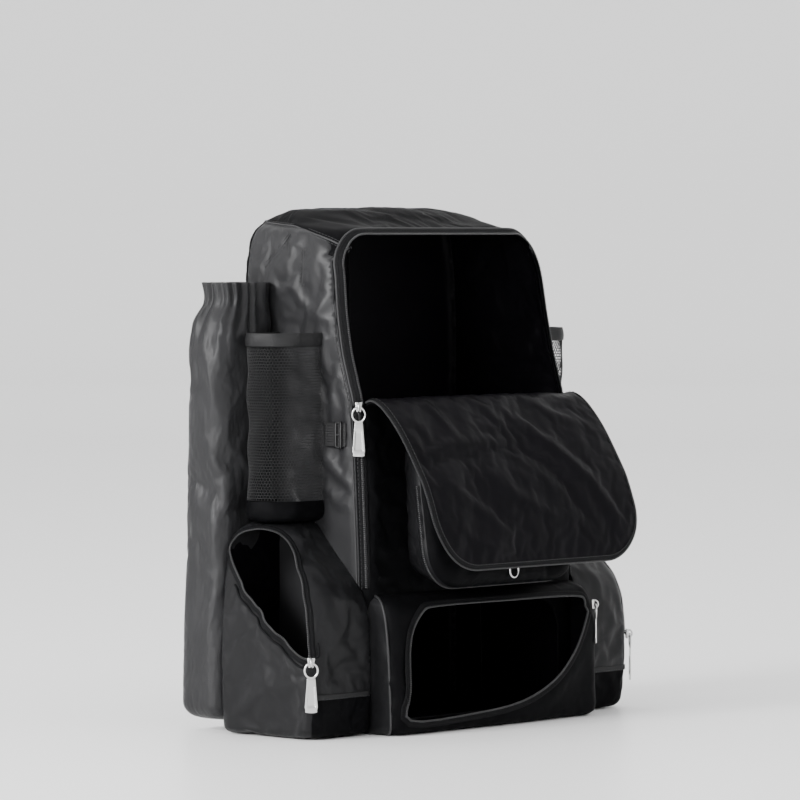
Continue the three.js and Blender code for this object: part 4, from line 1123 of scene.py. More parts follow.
def shoe_ring(v):
    """The shoe box's ring at v: under its foot, up its front, and back over its top."""
    up = min(max((v - 14) / (SHOE_HEIGHT - 4), 0.0), 1.0)
    wide, out = SHOES.at(up)
    below, above = max(0.0, 14 - v) / 14, max(0.0, v - SHOE_HEIGHT - 10) / 16
    out = out - 1.1 * below - 0.75 * above
    half = SHOE_HALF * wide - 4 * below
    z = up * (SHOE_HEIGHT)
    return -half, half, -DEPTH - SHOE_OUT * out, -DEPTH + 22, SHOE_CORNER, 2.0, z


SHOES = Rows(SHOE_ROWS)
shoe_box = Shell(shoe_ring, 0, 5, 80.0)


def shoe_v(z):
    return 14 + z / SHOE_HEIGHT * (SHOE_HEIGHT - 4)


def on_shoe(x, z):
    u, v = shoe_box.front_u(x, shoe_v(z)), shoe_v(z)
    return shoe_box.point(u, v), shoe_box.normal(u, v)


SHOE_LEAN = Vector((0, -5.0, -1.5))


def shoe_slack(x, z):
    """How slack the mouth's edge is: more to the right, and none along its top."""
    return max(0.0, min(1.0, (x + 120) / 200)) * (1 if z < 118 else 0)


def shoe_mouth():
    line = [(a * SHOE_MOUTH_HALF, between(SHOE_MOUTH_LOW, SHOE_MOUTH_TOP, up)) for a, up in SHOE_MOUTH]
    return [(p.x, p.y) for p in evenly(smooth_line([(x, z, 0) for x, z in line], True, 4), 5, True)]


class BAG_OT_shoe_box(bpy.types.Operator):
    """Sew the shoe box with its open zip and its slack front."""

    bl_idname = "bag.shoe_box"
    bl_label = "Shoe box"

    def execute(self, context):
        sizes = context.scene.bag_sizes
        line = shoe_mouth()
        mouth = [(shoe_box.front_u(x, shoe_v(z)), shoe_v(z)) for x, z in line]
        top = SHOE_HEIGHT + 26
        outline = [(0, 0), (shoe_box.width, 0), (shoe_box.width, top), (0, top)]
        seams = [[(shoe_box.u_of(q), v) for v in np.linspace(6, top - 14, 30)] for q in (1.1, 3.9)]
        seams.append([(u, shoe_v(SHOE_HEIGHT) - 6) for u in np.linspace(6, shoe_box.width - 6, 80)])
        flat, faces, marks = cut_cloth(outline, [mouth], seams, 6.0, shoe_box.squeeze)
        free = tree_of(line)
        folds = [([(40, 120), (60, 96), (70, 60)], 7, -2.6), ([(20, 60), (48, 70), (80, 66)], 6, 2.0), ([(26,
            36), (60, 44), (96, 30)], 6, 1.6), ([(shoe_box.u_of(2.5), 26), (shoe_box.u_of(2.75), 40),
            (shoe_box.u_of(2.9), 70)], 7, 2.2), ([(shoe_box.u_of(2.35), 22), (shoe_box.u_of(2.6), 30),
            (shoe_box.u_of(2.8), 48)], 5, -1.8)]
        lift = folds_at(folds, flat)
        places = []
        for (u, v), up in zip(flat, lift):
            p = shoe_box.point(u, v) + shoe_box.normal(u, v) * float(up)
            places.append(p)
        held = set().union(*marks[:1], *marks[2:5])
        held |= {i for i, p in enumerate(places) if p.z < 2 or p.y > -DEPTH + 2}
        # The slack panel's free edge leans out of the box
        for i, p in enumerate(places):
            x, z = p.x, p.z
            if p.y < -DEPTH - 8:
                (_, fz, _), _, away = free.find((x, z, 0))
                slack = math.exp(-((away / 26) ** 2)) * shoe_slack(x, fz)
                places[i] = p + SHOE_LEAN * slack
        held |= marks[1]
        piece = new_piece("shoe_box_cloth", places, faces, ["black", "lining", "dark", "lining"], flat)
        # Painted shade: the front between the pipings gets the black cloth, a darker copy of the dark cloth on
        # the gussets that face the key lamp.
        ends = [shoe_box.u_of(q) * MM for q in (1.1, 3.9)]
        for face in piece.data.polygons:
            u = flat_middle(piece, face).x
            face.material_index = 0 if ends[0] < u < ends[1] else 2
        sew_down(piece, held)
        settle(piece, sizes.slack * 1.1, 0.3, 0.008, 0.5)
        finish_wall(piece, sizes.wall, "own")
        ready(piece, "side_cloth", "shoe_box")
        edge, normals = [], []
        for x, z in line:
            p, n = on_shoe(x, z)
            edge.append(p + SHOE_LEAN * shoe_slack(x, z))
            normals.append(n)
        sign = 1.0 if across_sign(edge, normals) > 0 else -1.0
        open_zip("shoe_zip_cloth", edge, normals, "shoe_zip", True, -sign, 7.5)
        for name, q in (("left", 1.1), ("right", 3.9)):
            u = shoe_box.u_of(q)
            run = np.linspace(8, shoe_v(SHOE_HEIGHT) + 2, 36)
            ready(tube("shoe_piping_" + name, [shoe_box.point(u, v) for v in run], [shoe_box.normal(u, v)
                for v in run], 1.4, "binding"), "webbing")
        return {"FINISHED"}


def pocket_outline(drawn, corner, count=150):
    """The front pocket's outline, drawn in, as (x, z), going once round from its lower left corner."""
    half = POCKET_WIDTH / 2 - drawn
    low, top = POCKET_LOW + drawn, POCKET_TOP - drawn
    r = min(corner, half - 1, (top - low) / 2 - 1)
    line = []
    for cx, cz, start in ((half - r, top - r, 0), (r - half, top - r, 90), (r - half, low + r, 180), (half
            - r, low + r, 270)):
        for k in range(13):
            a = math.radians(start + k * 7.5)
            line.append((cx + r * math.cos(a), 0, cz + r * math.sin(a)))
    step = sum((Vector(b) - Vector(a)).length for a, b in zip(line, line[1:] + line[:1])) / count
    run = evenly(line, step, True)
    while len(run) > count:
        run.pop()
    while len(run) < count:
        run.append(run[-1].lerp(run[0], 0.5))
    return [(p.x, p.z) for p in run]


def pocket_depth(z):
    rise = (z - POCKET_LOW) / (POCKET_TOP - POCKET_LOW)
    return POCKET_DEPTH * between(1, 0.62, rise)


class BAG_OT_front_pocket(bpy.types.Operator):
    """Sew the front pocket, its gusset and its zip."""

    bl_idname = "bag.front_pocket"
    bl_label = "Front pocket"

    def execute(self, context):
        sizes = context.scene.bag_sizes
        table = Rows([(0.0, -0.05, 0.3), (0.08, 0.02, 0.29), (0.3, 0.3, 0.16), (0.62, 0.7, 0.0), (0.74, 0.88,
            0.07), (0.85, 0.975, 0.26), (1.0, 1.0, 0.62)])
        count, verts, uvs, faces, pinned = 156, [], [], [], set()
        steps = [i / 15 for i in range(16)]
        rings = []
        for s in steps:
            out, draw = table.at(s)
            drawn = draw * POCKET_CORNER
            rings.append([(x, z, out, drawn) for x, z in pocket_outline(drawn, max(POCKET_CORNER - drawn, 10),
                count)])
        inner = 12
        last = rings[-1]
        for k in range(1, inner):
            t = k / inner
            ring = []
            for x, z, out, drawn in last:
                cz = (POCKET_LOW + POCKET_TOP) / 2
                ring.append((x * (1 - t), cz + (z - cz) * (1 - t), 1.0 + 0.035 * math.sin(t * math.pi / 2),
                    drawn))
            rings.append(ring)
        for i, ring in enumerate(rings):
            turn = 0.0
            for j, (x, z, out, drawn) in enumerate(ring):
                if j:
                    turn += math.dist((x, z), ring[j - 1][:2])
                y = body_front(z) - pocket_depth(z) * out
                verts.append(Vector((x, y, z)))
                uvs.append((x, z) if i > 12 else (turn, i * 4.2))
                if i < 2 or i == 10:
                    pinned.add(len(verts) - 1)
        for i in range(len(rings) - 1):
            for j in range(count):
                k = (j + 1) % count
                a, b, c, d = i * count + j, i * count + k, (i + 1) * count + k, (i + 1) * count + j
                faces.append((a, d, c, b))
        verts.append(sum(verts[-count:], Vector()) / count)
        uvs.append((0, (POCKET_LOW + POCKET_TOP) / 2))
        base = (len(rings) - 1) * count
        faces += [(base + j, len(verts) - 1, base + (j + 1) % count) for j in range(count)]
        folds = [([(-96, 166), (-78, 186), (-70, 214)], 7, 2.6), ([(-104, 176), (-90, 200), (-88, 226)], 5,
            -2.2), ([(-70, 163), (-50, 172), (-20, 172)], 5, 1.6), ([(-112, 240), (-96, 262), (-92, 290)], 6,
            2.0), ([(96, 166), (80, 190), (74, 214)], 7, 2.4)]
        lift = folds_at(folds, [(p.x, p.z) for p in verts])
        verts = [p + Vector((0, -1, 0)) * float(up) for p, up in zip(verts, lift)]
        piece = new_piece("front_pocket_cloth", verts, faces, ["black", "dark"], uvs)
        # Painted light: the first ten rings, which are the gusset, get the dark cloth. It is lighter than the
        # black face and stands for the key lamp's light on the gusset.
        for number, face in enumerate(piece.data.polygons):
            face.material_index = 1 if number < 10 * count else 0
        sew_down(piece, pinned)
        settle(piece, sizes.slack * 0.9, 0.3, 0.007, 0.5)
        finish_wall(piece, sizes.wall, None, 1)
        ready(piece, "front_cloth", "front_pocket")
        line, normals = [], []
        rim = pocket_outline(0.0, POCKET_CORNER, 200)
        for x, z in rim:
            y = body_front(z) - pocket_depth(z) * 0.66
            line.append(Vector((x, y, z)))
            cx = math.copysign(max(abs(x) - POCKET_WIDTH / 2 + POCKET_CORNER, 0), x)
            cz = z - min(max(z, POCKET_LOW + POCKET_CORNER), POCKET_TOP - POCKET_CORNER)
            normals.append(Vector((cx, 0, cz)).normalized() if cx or cz else Vector((0, 0, 1)))
        start = next(i for i, (x, z) in enumerate(rim) if x < 0 and z < 268 and i > 40)
        run = [(start + i) % 200 for i in range(200)]
        stop = next(k for k, i in enumerate(run) if k > 60 and rim[i][0] > 100 and rim[i][1] > 268)
        run = run[:stop]
        closed_zip("front_pocket_zip_cloth", [line[i] for i in run], [normals[i] for i in run],
            "front_pocket_zip", 8)
        return {"FINISHED"}


def ball_ring(v):
    """The left ball pocket's ring at v, which goes on over its top to the middle."""
    up = min(max((v - 10) / (BALL_TOP - 10), 0.0), 1.0)
    out, draw_back, draw_front, corner = BALLS.at(up)
    below, above = max(0.0, 10 - v) / 10, min(max(0.0, v - BALL_TOP) / 34, 1.0)
    left = -(SIDE + SIDE_OUT * out)
    right = -(SIDE - 0.9)
    front, back = -DEPTH + draw_front * BALL_LENGTH, BALL_BACK - draw_back * BALL_LENGTH
    close = max(below * 0.94, above * 0.985)
    left = between(left, right - 1, close)
    middle = (front + back) / 2
    front, back = between(front, middle - 0.6, close), between(back, middle + 0.6, close)
    corner = min(corner * BALL_LENGTH, right - left - 0.3, (back - front) / 2 - 0.1)
    back_corner = min(8.0, right - left - 0.3, (back - front) / 2 - 0.1)
    z = up * BALL_TOP
    return left, right + max(corner, 0.05), front, back, max(corner, 0.05), max(back_corner, 0.05), z


BALLS = Rows(BALL_ROWS)
ball_pocket = Shell(ball_ring, -2, 3, 120.0)


BALL_EDGE = [(BALL_BACK - a * BALL_LENGTH, up * BALL_TOP - 1.5, 0) for a, up in BALL_MOUTH]


def ball_mouth():
    return [(p.x, p.y) for p in evenly(smooth_line(BALL_EDGE, True, 5), 4.5, True)]


def ball_v(z):
    return 10 + z / BALL_TOP * (BALL_TOP - 10)


def on_ball(y, z):
    v = ball_v(z)
    u = ball_pocket.left_u(y, v)
    return ball_pocket.point(u, v), ball_pocket.normal(u, v)


def slack_lift(points):
    """How far the open pocket's free edge falls outward at (y, z), most at its middle."""
    free = [(p.x, p.y) for p in evenly(smooth_line(BALL_EDGE[11:], False, 4), 4)]
    tree = tree_of(free)
    found = []
    for y, z in points:
        _, i, away = tree.find((y, z, 0))
        t = i / (len(free) - 1)
        ripple = 0.72 + 0.28 * math.sin(t * 17 + 0.6) + 0.12 * math.sin(t * 41)
        found.append(6.5 * math.sin(math.pi * t) ** 0.8 * math.exp(-((away / 19) ** 2)) * ripple)
    return found


def ball_cloth(name, opened):
    sizes = bpy.context.scene.bag_sizes
    line = ball_mouth()
    mouth = [(ball_pocket.left_u(y, ball_v(z)), ball_v(z)) for y, z in line]
    outline = [(0, 0), (ball_pocket.width, 0), (ball_pocket.width, BALL_TOP + 34), (0, BALL_TOP + 34)]
    boot = [(u, ball_v(46)) for u in np.linspace(ball_pocket.u_of(1.5), ball_pocket.width - 4, 40)]
    corner = [(ball_pocket.u_of(1.5), v) for v in np.linspace(12, ball_v(86), 20)]
    holes, lines = ([mouth], [boot, corner]) if opened else ([], [boot, corner, zip_line_flat()])
    flat, faces, marks = cut_cloth(outline, holes, lines, 5.6, ball_pocket.squeeze)
    q = ball_pocket.u_of
    folds = [([(q(0.12), 30), (q(0.5), 60), (q(0.95), 66)], 7, 3.0), ([(q(0.1), 60), (q(0.45), 88), (q(0.8),
        84)], 7, -2.6), ([(q(0.1), 92), (q(0.4), 112), (q(0.75), 104)], 8, 3.0), ([(q(0.08), 130), (q(0.3),
        138), (q(0.6), 118)], 7, 2.2), ([(q(0.2), 14), (q(0.6), 30), (q(1.0), 34)], 6, -2.0), ([(q(2.1), 100),
        (q(2.4), 128), (q(2.5), 170)], 8, 2.6), ([(q(2.0), 60), (q(2.4), 84), (q(2.8), 88)], 7, -2.0),
        ([(q(2.1), 140), (q(2.5), 150), (q(2.9), 140)], 7, 2.2)]
    lift = folds_at(folds, flat)
    places = [ball_pocket.point(u, v) + (ball_pocket.normal(u, v) * float(up) if abs(up) > 0.02 else Vector())
        for (u, v), up in zip(flat, lift)]
    if opened:
        # Below and behind the free edge only: the cloth in front of the mouth stays with the zip
        slack = slack_lift([(p.y, p.z) for p in places])
        for i, (p, away) in enumerate(zip(places, slack)):
            if flat[i][0] < q(1.0) + 6 and away > 0.05:
                places[i] = p + Vector((-away, away * 0.25, -away * 0.3))
    held = set().union(*marks[1:])
    held |= {i for i, (p, (u, v)) in enumerate(zip(places, flat)) if p.x > -SIDE - 4 or v < 12 or v > BALL_TOP
        - 4}
    piece = new_piece(name, places, faces, ["dark", "lining", "black", "lining"], flat)
    for face in piece.data.polygons:
        uv = flat_middle(piece, face)
        face.material_index = 2 if uv.y < ball_v(46) * MM and uv.x > q(1.5) * MM else 0
    sew_down(piece, held)
    merge_points(piece)
    settle(piece, sizes.slack * 1.5, 0.3, 0.008, 0.5)
    return piece


def zip_line_flat():
    return [(ball_pocket.left_u(y, ball_v(z)), ball_v(z)) for y, z in upper_line()]


def upper_line():
    return [(p.x, p.y) for p in smooth_line(BALL_EDGE[:12], False, 4)]


class BAG_OT_ball_pockets(bpy.types.Operator):
    """Sew the two ball pockets, the left one open and slack and the right one closed."""

    bl_idname = "bag.ball_pockets"
    bl_label = "Ball pockets"

    def execute(self, context):
        sizes = context.scene.bag_sizes
        opened = ball_cloth("ball_pocket_cloth_left", True)
        finish_wall(opened, sizes.wall, "own")
        ready(opened, "side_cloth", "ball_pocket_left")
        line = ball_mouth()
        found = [on_ball(y, z) for y, z in line]
        slack = slack_lift(line)
        free = [k for k, away in enumerate(slack) if away > 0.6 and found[k][0].x < -SIDE - 8]
        edge = [p + Vector((-away, away * 0.25, -away * 0.3)) for (p, _), away in zip(found, slack)]
        normals = [n for _, n in found]
        sign = 1.0 if across_sign(edge, normals) > 0 else -1.0
        rows = frames_along(edge, normals, True)
        fold = [rows[k][0] + rows[k][2] * sign * 7.0 + normals[k] * 0.6 for k in free]
        cord = tube("ball_fold", fold, [normals[k] for k in free], 1.5, "tape")
        zip_piece = open_zip("ball_zip_cloth_left", edge, normals, "ball_zip_left", True, -sign, 7.5)
        ready(joined("ball_zip_cloth_left", [zip_piece, cord]), "zip", "ball_zip_left")
        shut = ball_cloth("shut_pocket", False)
        finish_wall(shut, sizes.wall, "own")
        twin = mirrored(shut, "ball_pocket_cloth_right")
        bpy.data.objects.remove(shut)
        ready(twin, "side_cloth", "ball_pocket_right")
        run = [on_ball(p.x, p.y) for p in evenly([(y, z, 0) for y, z in upper_line()], 4)]
        mirror = Vector((-1, 1, 1))
        closed_zip("ball_zip_cloth_right", [p * mirror for p, _ in run][::-1], [n * mirror for _,
            n in run][::-1], "ball_zip_right", 7.5)
        for side, way in SIDES:
            u = [ball_pocket.u_of(q) for q in np.linspace(1.5, 2.96, 34)]
            row = [(ball_pocket.point(k, ball_v(46)) * way, ball_pocket.normal(k, ball_v(46)) * way) for k in u]
            if side == "right":
                row = row[::-1]
            places, ways = apart(row)
            band = sweep("boot_binding_" + side, places, ways, ribbon(6, 0.9, 0.4), "webbing")
            threads = stitching("boot_threads_" + side, places, ways, 1.8, 1.4)
            ready(joined("boot_binding_" + side, [band, threads]), "webbing")
        return {"FINISHED"}


def sleeve_cloth():
    """The left bat sleeve: level rings, with its mouth gathered on elastic."""
    table = Rows(SLEEVE_ROWS)
    count, steps = 132, 96
    verts, uvs, faces, pinned = [], [], [], set()
    height = SLEEVE_TOP - SLEEVE_LOW
    for i in range(-5, steps + 1):
        up = max(i, 0) / steps
        out, draw, _ = table.at(up)
        reach = SIDE + SIDE_OUT * out
        drawn = draw * SLEEVE_DEPTH
        left, right = -reach, -SIDE + 0.9
        front, back = -SLEEVE_DEPTH + max(drawn, 0), -drawn
        corner = 15.0
        if i < 0:
            close = -i / 5
            left, right = between(left, (left + right) / 2 - 0.3, close), between(right, (left + right) / 2
                + 0.3, close)
            front, back = between(front, (front + back) / 2 - 0.3, close), between(back, (front + back) / 2
                + 0.3, close)
            corner = between(15, 0.15, close)
        z = SLEEVE_LOW + up * height
        ring = []
        for k in range(400):
            q = 8 * k / 400
            x, y = ring_point(q, left, right, front, back, corner, corner)
            ring.append((x, y, 0))
        ring = evenly(ring, 1, True)
        total = len(ring)
        turn = 0
        previous = None
        for j in range(count):
            p = ring[int(j * total / count)].copy()
            gather = max(0.0, (up - 0.72) / 0.28) ** 1.6
            free = min(max((-p.x - SIDE - 3) / 18, 0), 1)
            phase = 2 * math.pi * j * GATHERS * 1.7 / count + 0.7 * math.sin(j * 0.31)
            wave = 0.5 - 0.5 * math.cos(phase)
            depth = 5.2 * gather * wave * free * (1 if i >= 0 else 0)
            centre = Vector(((left + right) / 2, (front + back) / 2, 0))
            p += (centre - p).normalized() * depth
            if previous is not None:
                turn += (p - previous).length
            previous = p
            p.z = z
            verts.append(p.copy())
            uvs.append((turn, up * height if i >= 0 else i * 8))
            on_wall = p.x > -SIDE - 2.5
            if i <= 0 or i >= steps - 3 or on_wall:
                pinned.add(len(verts) - 1)
    rows = steps + 6
    for i in range(rows - 1):
        for j in range(count):
            k = (j + 1) % count
            faces.append((i * count + j, i * count + k, (i + 1) * count + k, (i + 1) * count + j))
    faces.append(tuple(range(count))[::-1])
    return new_sleeve(verts, faces, uvs, pinned)


def new_sleeve(verts, faces, uvs, pinned):
    """Folds laid by chance on the sleeve's outer side, then settled."""
    chance = random.Random(5)
    lines = []
    for _ in range(15):
        y = chance.uniform(-54, -4)
        z = chance.uniform(60, 440)
        lean = chance.uniform(-26, 26)
        tall = chance.uniform(30, 80)
        lines.append(([(y, z), (y + lean * 0.5, z + tall * 0.5), (y + lean, z + tall)], chance.uniform(5, 9),
            chance.uniform(-2.4, 2.4)))
    lift = folds_at(lines, [(p.y, p.z) for p in verts])
    moved = []
    for p, up in zip(verts, lift):
        free = min(max((-p.x - SIDE - 60) / 16, 0), 1)
        moved.append(p + Vector((-1, 0, 0)) * float(up) * free)
    piece = new_piece("sleeve", moved, faces, "charcoal", uvs)
    sew_down(piece, pinned)
    merge_points(piece, 0.0001)
    settle(piece, bpy.context.scene.bag_sizes.slack * 0.7, 0.3, 0.006, 0.8)
    return piece


class BAG_OT_sleeves(bpy.types.Operator):
    """Sew the two bat sleeves with their gathered mouths."""

    bl_idname = "bag.sleeves"
    bl_label = "Bat sleeves"

    def execute(self, context):
        sizes = context.scene.bag_sizes
        left = sleeve_cloth()
        finish_wall(left, sizes.wall, None)
        left.name = left.data.name = "bat_sleeve_cloth_left"
        right = mirrored(left, "bat_sleeve_cloth_right")
        ready(left, "side_cloth", "bat_sleeve_left")
        ready(right, "side_cloth", "bat_sleeve_right")
        return {"FINISHED"}


def bottle_line(radius, step=3.0):
    """The bottle pocket's level line, from the wall at its front round to the wall at its back, as (x, y)."""
    middle, centre = BOTTLE_MIDDLE, -(SIDE + BOTTLE_OFF)
    line = [(-SIDE - 0.3, middle - radius, 0), (centre, middle - radius, 0)]
    for k in range(1, 24):
        a = -math.pi / 2 - math.pi * k / 24
        line.append((centre + radius * math.cos(a), middle + radius * math.sin(a), 0))
    line += [(centre, middle + radius, 0), (-SIDE - 0.3, middle + radius, 0)]
    return evenly(line, step)


def bottle_wall(name, low, top, radius_at, finish, wobble=0.0, step=3.0, rows=12):
    """A standing wall round the bottle pocket's line."""
    verts, uvs, faces = [], [], []
    count = len(bottle_line(BOTTLE_RADIUS, step))
    chance = random.Random(3)
    phases = [chance.uniform(0, 6.28) for _ in range(4)]
    for i in range(rows + 1):
        t = i / rows
        line = bottle_line(radius_at(t), step)
        while len(line) < count:
            line.append(line[-1].copy())
        line = line[:count]
        turn = 0.0
        for j, p in enumerate(line):
            if j:
                turn += (p - line[j - 1]).length
            share = j / (count - 1)
            w = wobble * math.sin(math.pi * share) * (math.sin(share * 21 + phases[0] + 2 * t) + 0.6
                * math.sin(share * 43 + phases[1]))
            away = Vector((p.x + SIDE + BOTTLE_OFF, p.y - BOTTLE_MIDDLE, 0)).normalized()
            verts.append(Vector((p.x, p.y, between(low, top, t))) + away * w)
            uvs.append((turn, t * (top - low)))
    for i in range(rows):
        for j in range(count - 1):
            a = i * count + j
            faces.append((a, a + count, a + count + 1, a + 1))
    return new_piece(name, verts, faces, finish, uvs)


def net_cloth():
    """The left bottle net: six-sided cells of thread, a little wavy where the empty net hangs."""
    sizes = bpy.context.scene.bag_sizes
    cell = sizes.net_cell / MM
    low, top = BOTTLE_LOW + CUP + 0.4, BOTTLE_TOP - HEM - 0.4
    line = bottle_line(BOTTLE_RADIUS, 2.0)
    lengths = [0.0]
    for a, b in zip(line, line[1:]):
        lengths.append(lengths[-1] + (b - a).length)
    middle = Vector((-(SIDE + BOTTLE_OFF), BOTTLE_MIDDLE, 0))

    def place(s, z):
        s = min(max(s, 0), lengths[-1])
        i = min(max(1, np.searchsorted(lengths, s)), len(line) - 1)
        p = line[i - 1].lerp(line[i], (s - lengths[i - 1]) / (lengths[i] - lengths[i - 1]))
        away = (p - middle).normalized()
        t = (z - low) / (top - low)
        slack = math.sin(math.pi * s / lengths[-1]) * math.sin(math.pi * t)
        wave = 1.5 * math.sin(z * 0.11 + s * 0.05) + 1.2 * math.sin(s * 0.13 + z * 0.03 + 1)
        return Vector((p.x, p.y, z)) + away * (slack * (wave - 2.0))

    wide = max(8, round(lengths[-1] / cell))
    step = lengths[-1] / wide
    tall = round((top - low) / (cell * 0.866))
    rise = (top - low) / tall
    index, verts, faces = {}, [], []

    def vertex(a, b):
        key = (round(a * 6), round(b * 6))
        if key not in index:
            index[key] = len(verts)
            verts.append(place(a * step, min(max(low + b * rise, low), top)))
        return index[key]

    for j in range(tall):
        for i in range(wide):
            shift = 0.5 if j % 2 else 0.0
            a, b = i + shift, j + 0.5
            ring = [(a, b - 2 / 3), (a + 0.5, b - 1 / 3), (a + 0.5, b + 1 / 3), (a, b + 2 / 3), (a - 0.5, b
                + 1 / 3), (a - 0.5, b - 1 / 3)]
            if a - 0.5 < -0.01 or a + 0.5 > wide + 0.01:
                continue
            faces.append(tuple(vertex(*c) for c in ring)[::-1])
    piece = new_piece("net", verts, faces, "net", None)
    thread = piece.modifiers.new("thread", "WIREFRAME")
    thread.thickness = sizes.net_thread
    thread.use_even_offset = False
    thread.use_replace = True
    apply_all(piece)
    return piece


class BAG_OT_bottle_pockets(bpy.types.Operator):
    """Knit the bottle pockets' nets and sew their hems and cups."""

    bl_idname = "bag.bottle_pockets"
    bl_label = "Bottle pockets"

    def execute(self, context):
        net = net_cloth()
        net.name = net.data.name = "bottle_net_left_knit"
        cup_table = Rows(CUP_ROWS)
        cup = bottle_wall("bottle_cup_cloth_left", BOTTLE_LOW + 0.6, BOTTLE_LOW + CUP,
            lambda t: (BOTTLE_RADIUS + 1) * cup_table.at(t)[0], "black", 0.9)
        floor = bottle_wall("bottle_floor_left", BOTTLE_LOW + 0.6, BOTTLE_LOW + 1.2, lambda t: (BOTTLE_RADIUS
            + 1) * (0.05 + 0.65 * (1 - t)), "black", 0.0, 3.0, 3)
        floor.data.flip_normals()
        cup = joined("bottle_cup_cloth_left", [cup, floor])
        finish_wall(cup, 0.0014, None, 1)
        hem = bottle_wall("bottle_hem_band_left", BOTTLE_TOP - HEM, BOTTLE_TOP, lambda t: BOTTLE_RADIUS + 1.2
            * math.sin(math.pi * t), "webbing", 0.8, 2.4, 6)
        finish_wall(hem, 0.0026, None, 1, 0.0)
        twins = [(net, "net", "bottle_net", "bottle_net_right_knit"), (cup, "front_cloth", "bottle_cup",
            "bottle_cup_cloth_right"), (hem, "webbing", "bottle_hem", "bottle_hem_band_right")]
        for piece, slot, node, name in twins:
            right = mirrored(piece, name)
            ready(piece, slot, node + "_left")
            ready(right, slot, node + "_right")
        return {"FINISHED"}


# The lid


def lid_path(count=60):
    root = body_front(SILL - 3) - SEAT
    line = smooth_line([(0, root - out * LID_REACH, SILL - 1.5 - down * LID_DROP) for out, down in LID_ROWS],
        False, 8)
    length = sum((b - a).length for a, b in zip(line, line[1:]))
    return evenly(line, length / count), length


LID_LINE, LID_LENGTH = lid_path()


def lid_half(s, inset=0.0):
    left = LID_LENGTH - s
    if left >= LID_CORNER:
        return LID_HALF - inset
    return LID_HALF - inset - LID_CORNER + math.sqrt(max(LID_CORNER**2 - (LID_CORNER - left) ** 2, 0))


def lid_point(a, s, lift=0.0):
    """The lid at a across and s along it from the sill, lifted off its outer face."""
    t = min(max(s / LID_LENGTH, 0), 1) * (len(LID_LINE) - 1)
    i = min(int(t), len(LID_LINE) - 2)
    p = LID_LINE[i].lerp(LID_LINE[i + 1], t - i)
    before, after = LID_LINE[max(i - 1, 0)], LID_LINE[min(i + 2, len(LID_LINE) - 1)]
    along = (after - before).normalized()
    out = Vector((0, along.z, -along.y))
    return Vector((a, p.y, p.z)) + out * lift, out


def lid_outline(inset, step=3.0):
    run = []
    for k in range(121):
        s = LID_LENGTH * (1 - math.cos(math.pi * k / 120)) / 2 if k else 0
        run.append((-lid_half(s), min(s, LID_LENGTH - 0.01), 0))
    right = [(-x, s, 0) for x, s, _ in reversed(run)]
    line = evenly(run + right, step)
    if inset:
        line = [Vector((p.x * (1 - inset / LID_HALF), max(0.6, p.y * (1 - inset / LID_LENGTH)), 0))
            for p in line]
    return [(p.x, p.y) for p in line]


LID_FOLDS = [
    ([(-150, 96), (-110, 84), (-60, 80), (-10, 82)], 6, 3.2),
    ([(-150, 108), (-100, 100), (-50, 96)], 6, -2.2),
    ([(-96, 24), (-92, 50), (-88, 70)], 6, 2.4),
    ([(30, 60), (70, 100), (110, 150), (135, 190)], 9, 4.2),
    ([(10, 90), (50, 130), (86, 180)], 8, -3.0),
    ([(-60, 120), (-20, 150), (30, 175)], 9, 2.4),
    ([(-130, 130), (-90, 160), (-50, 190)], 7, 2.2),
    ([(-120, 190), (-80, 202), (-40, 206)], 5, 2.0),
    ([(60, 20), (90, 50), (130, 66)], 7, 2.0),
    ([(-30, 14), (-10, 40), (0, 70)], 7, 1.8),
    ([(-150, 40), (-130, 58), (-126, 80)], 6, 1.8),
]


def lid_droop(a, s):
    """How far the lid's sides sink beside its crest."""
    t = s / LID_LENGTH
    return -3.0 * (abs(a) / LID_HALF) ** 2.6 * math.sin(math.pi * min(t * 1.15, 1))


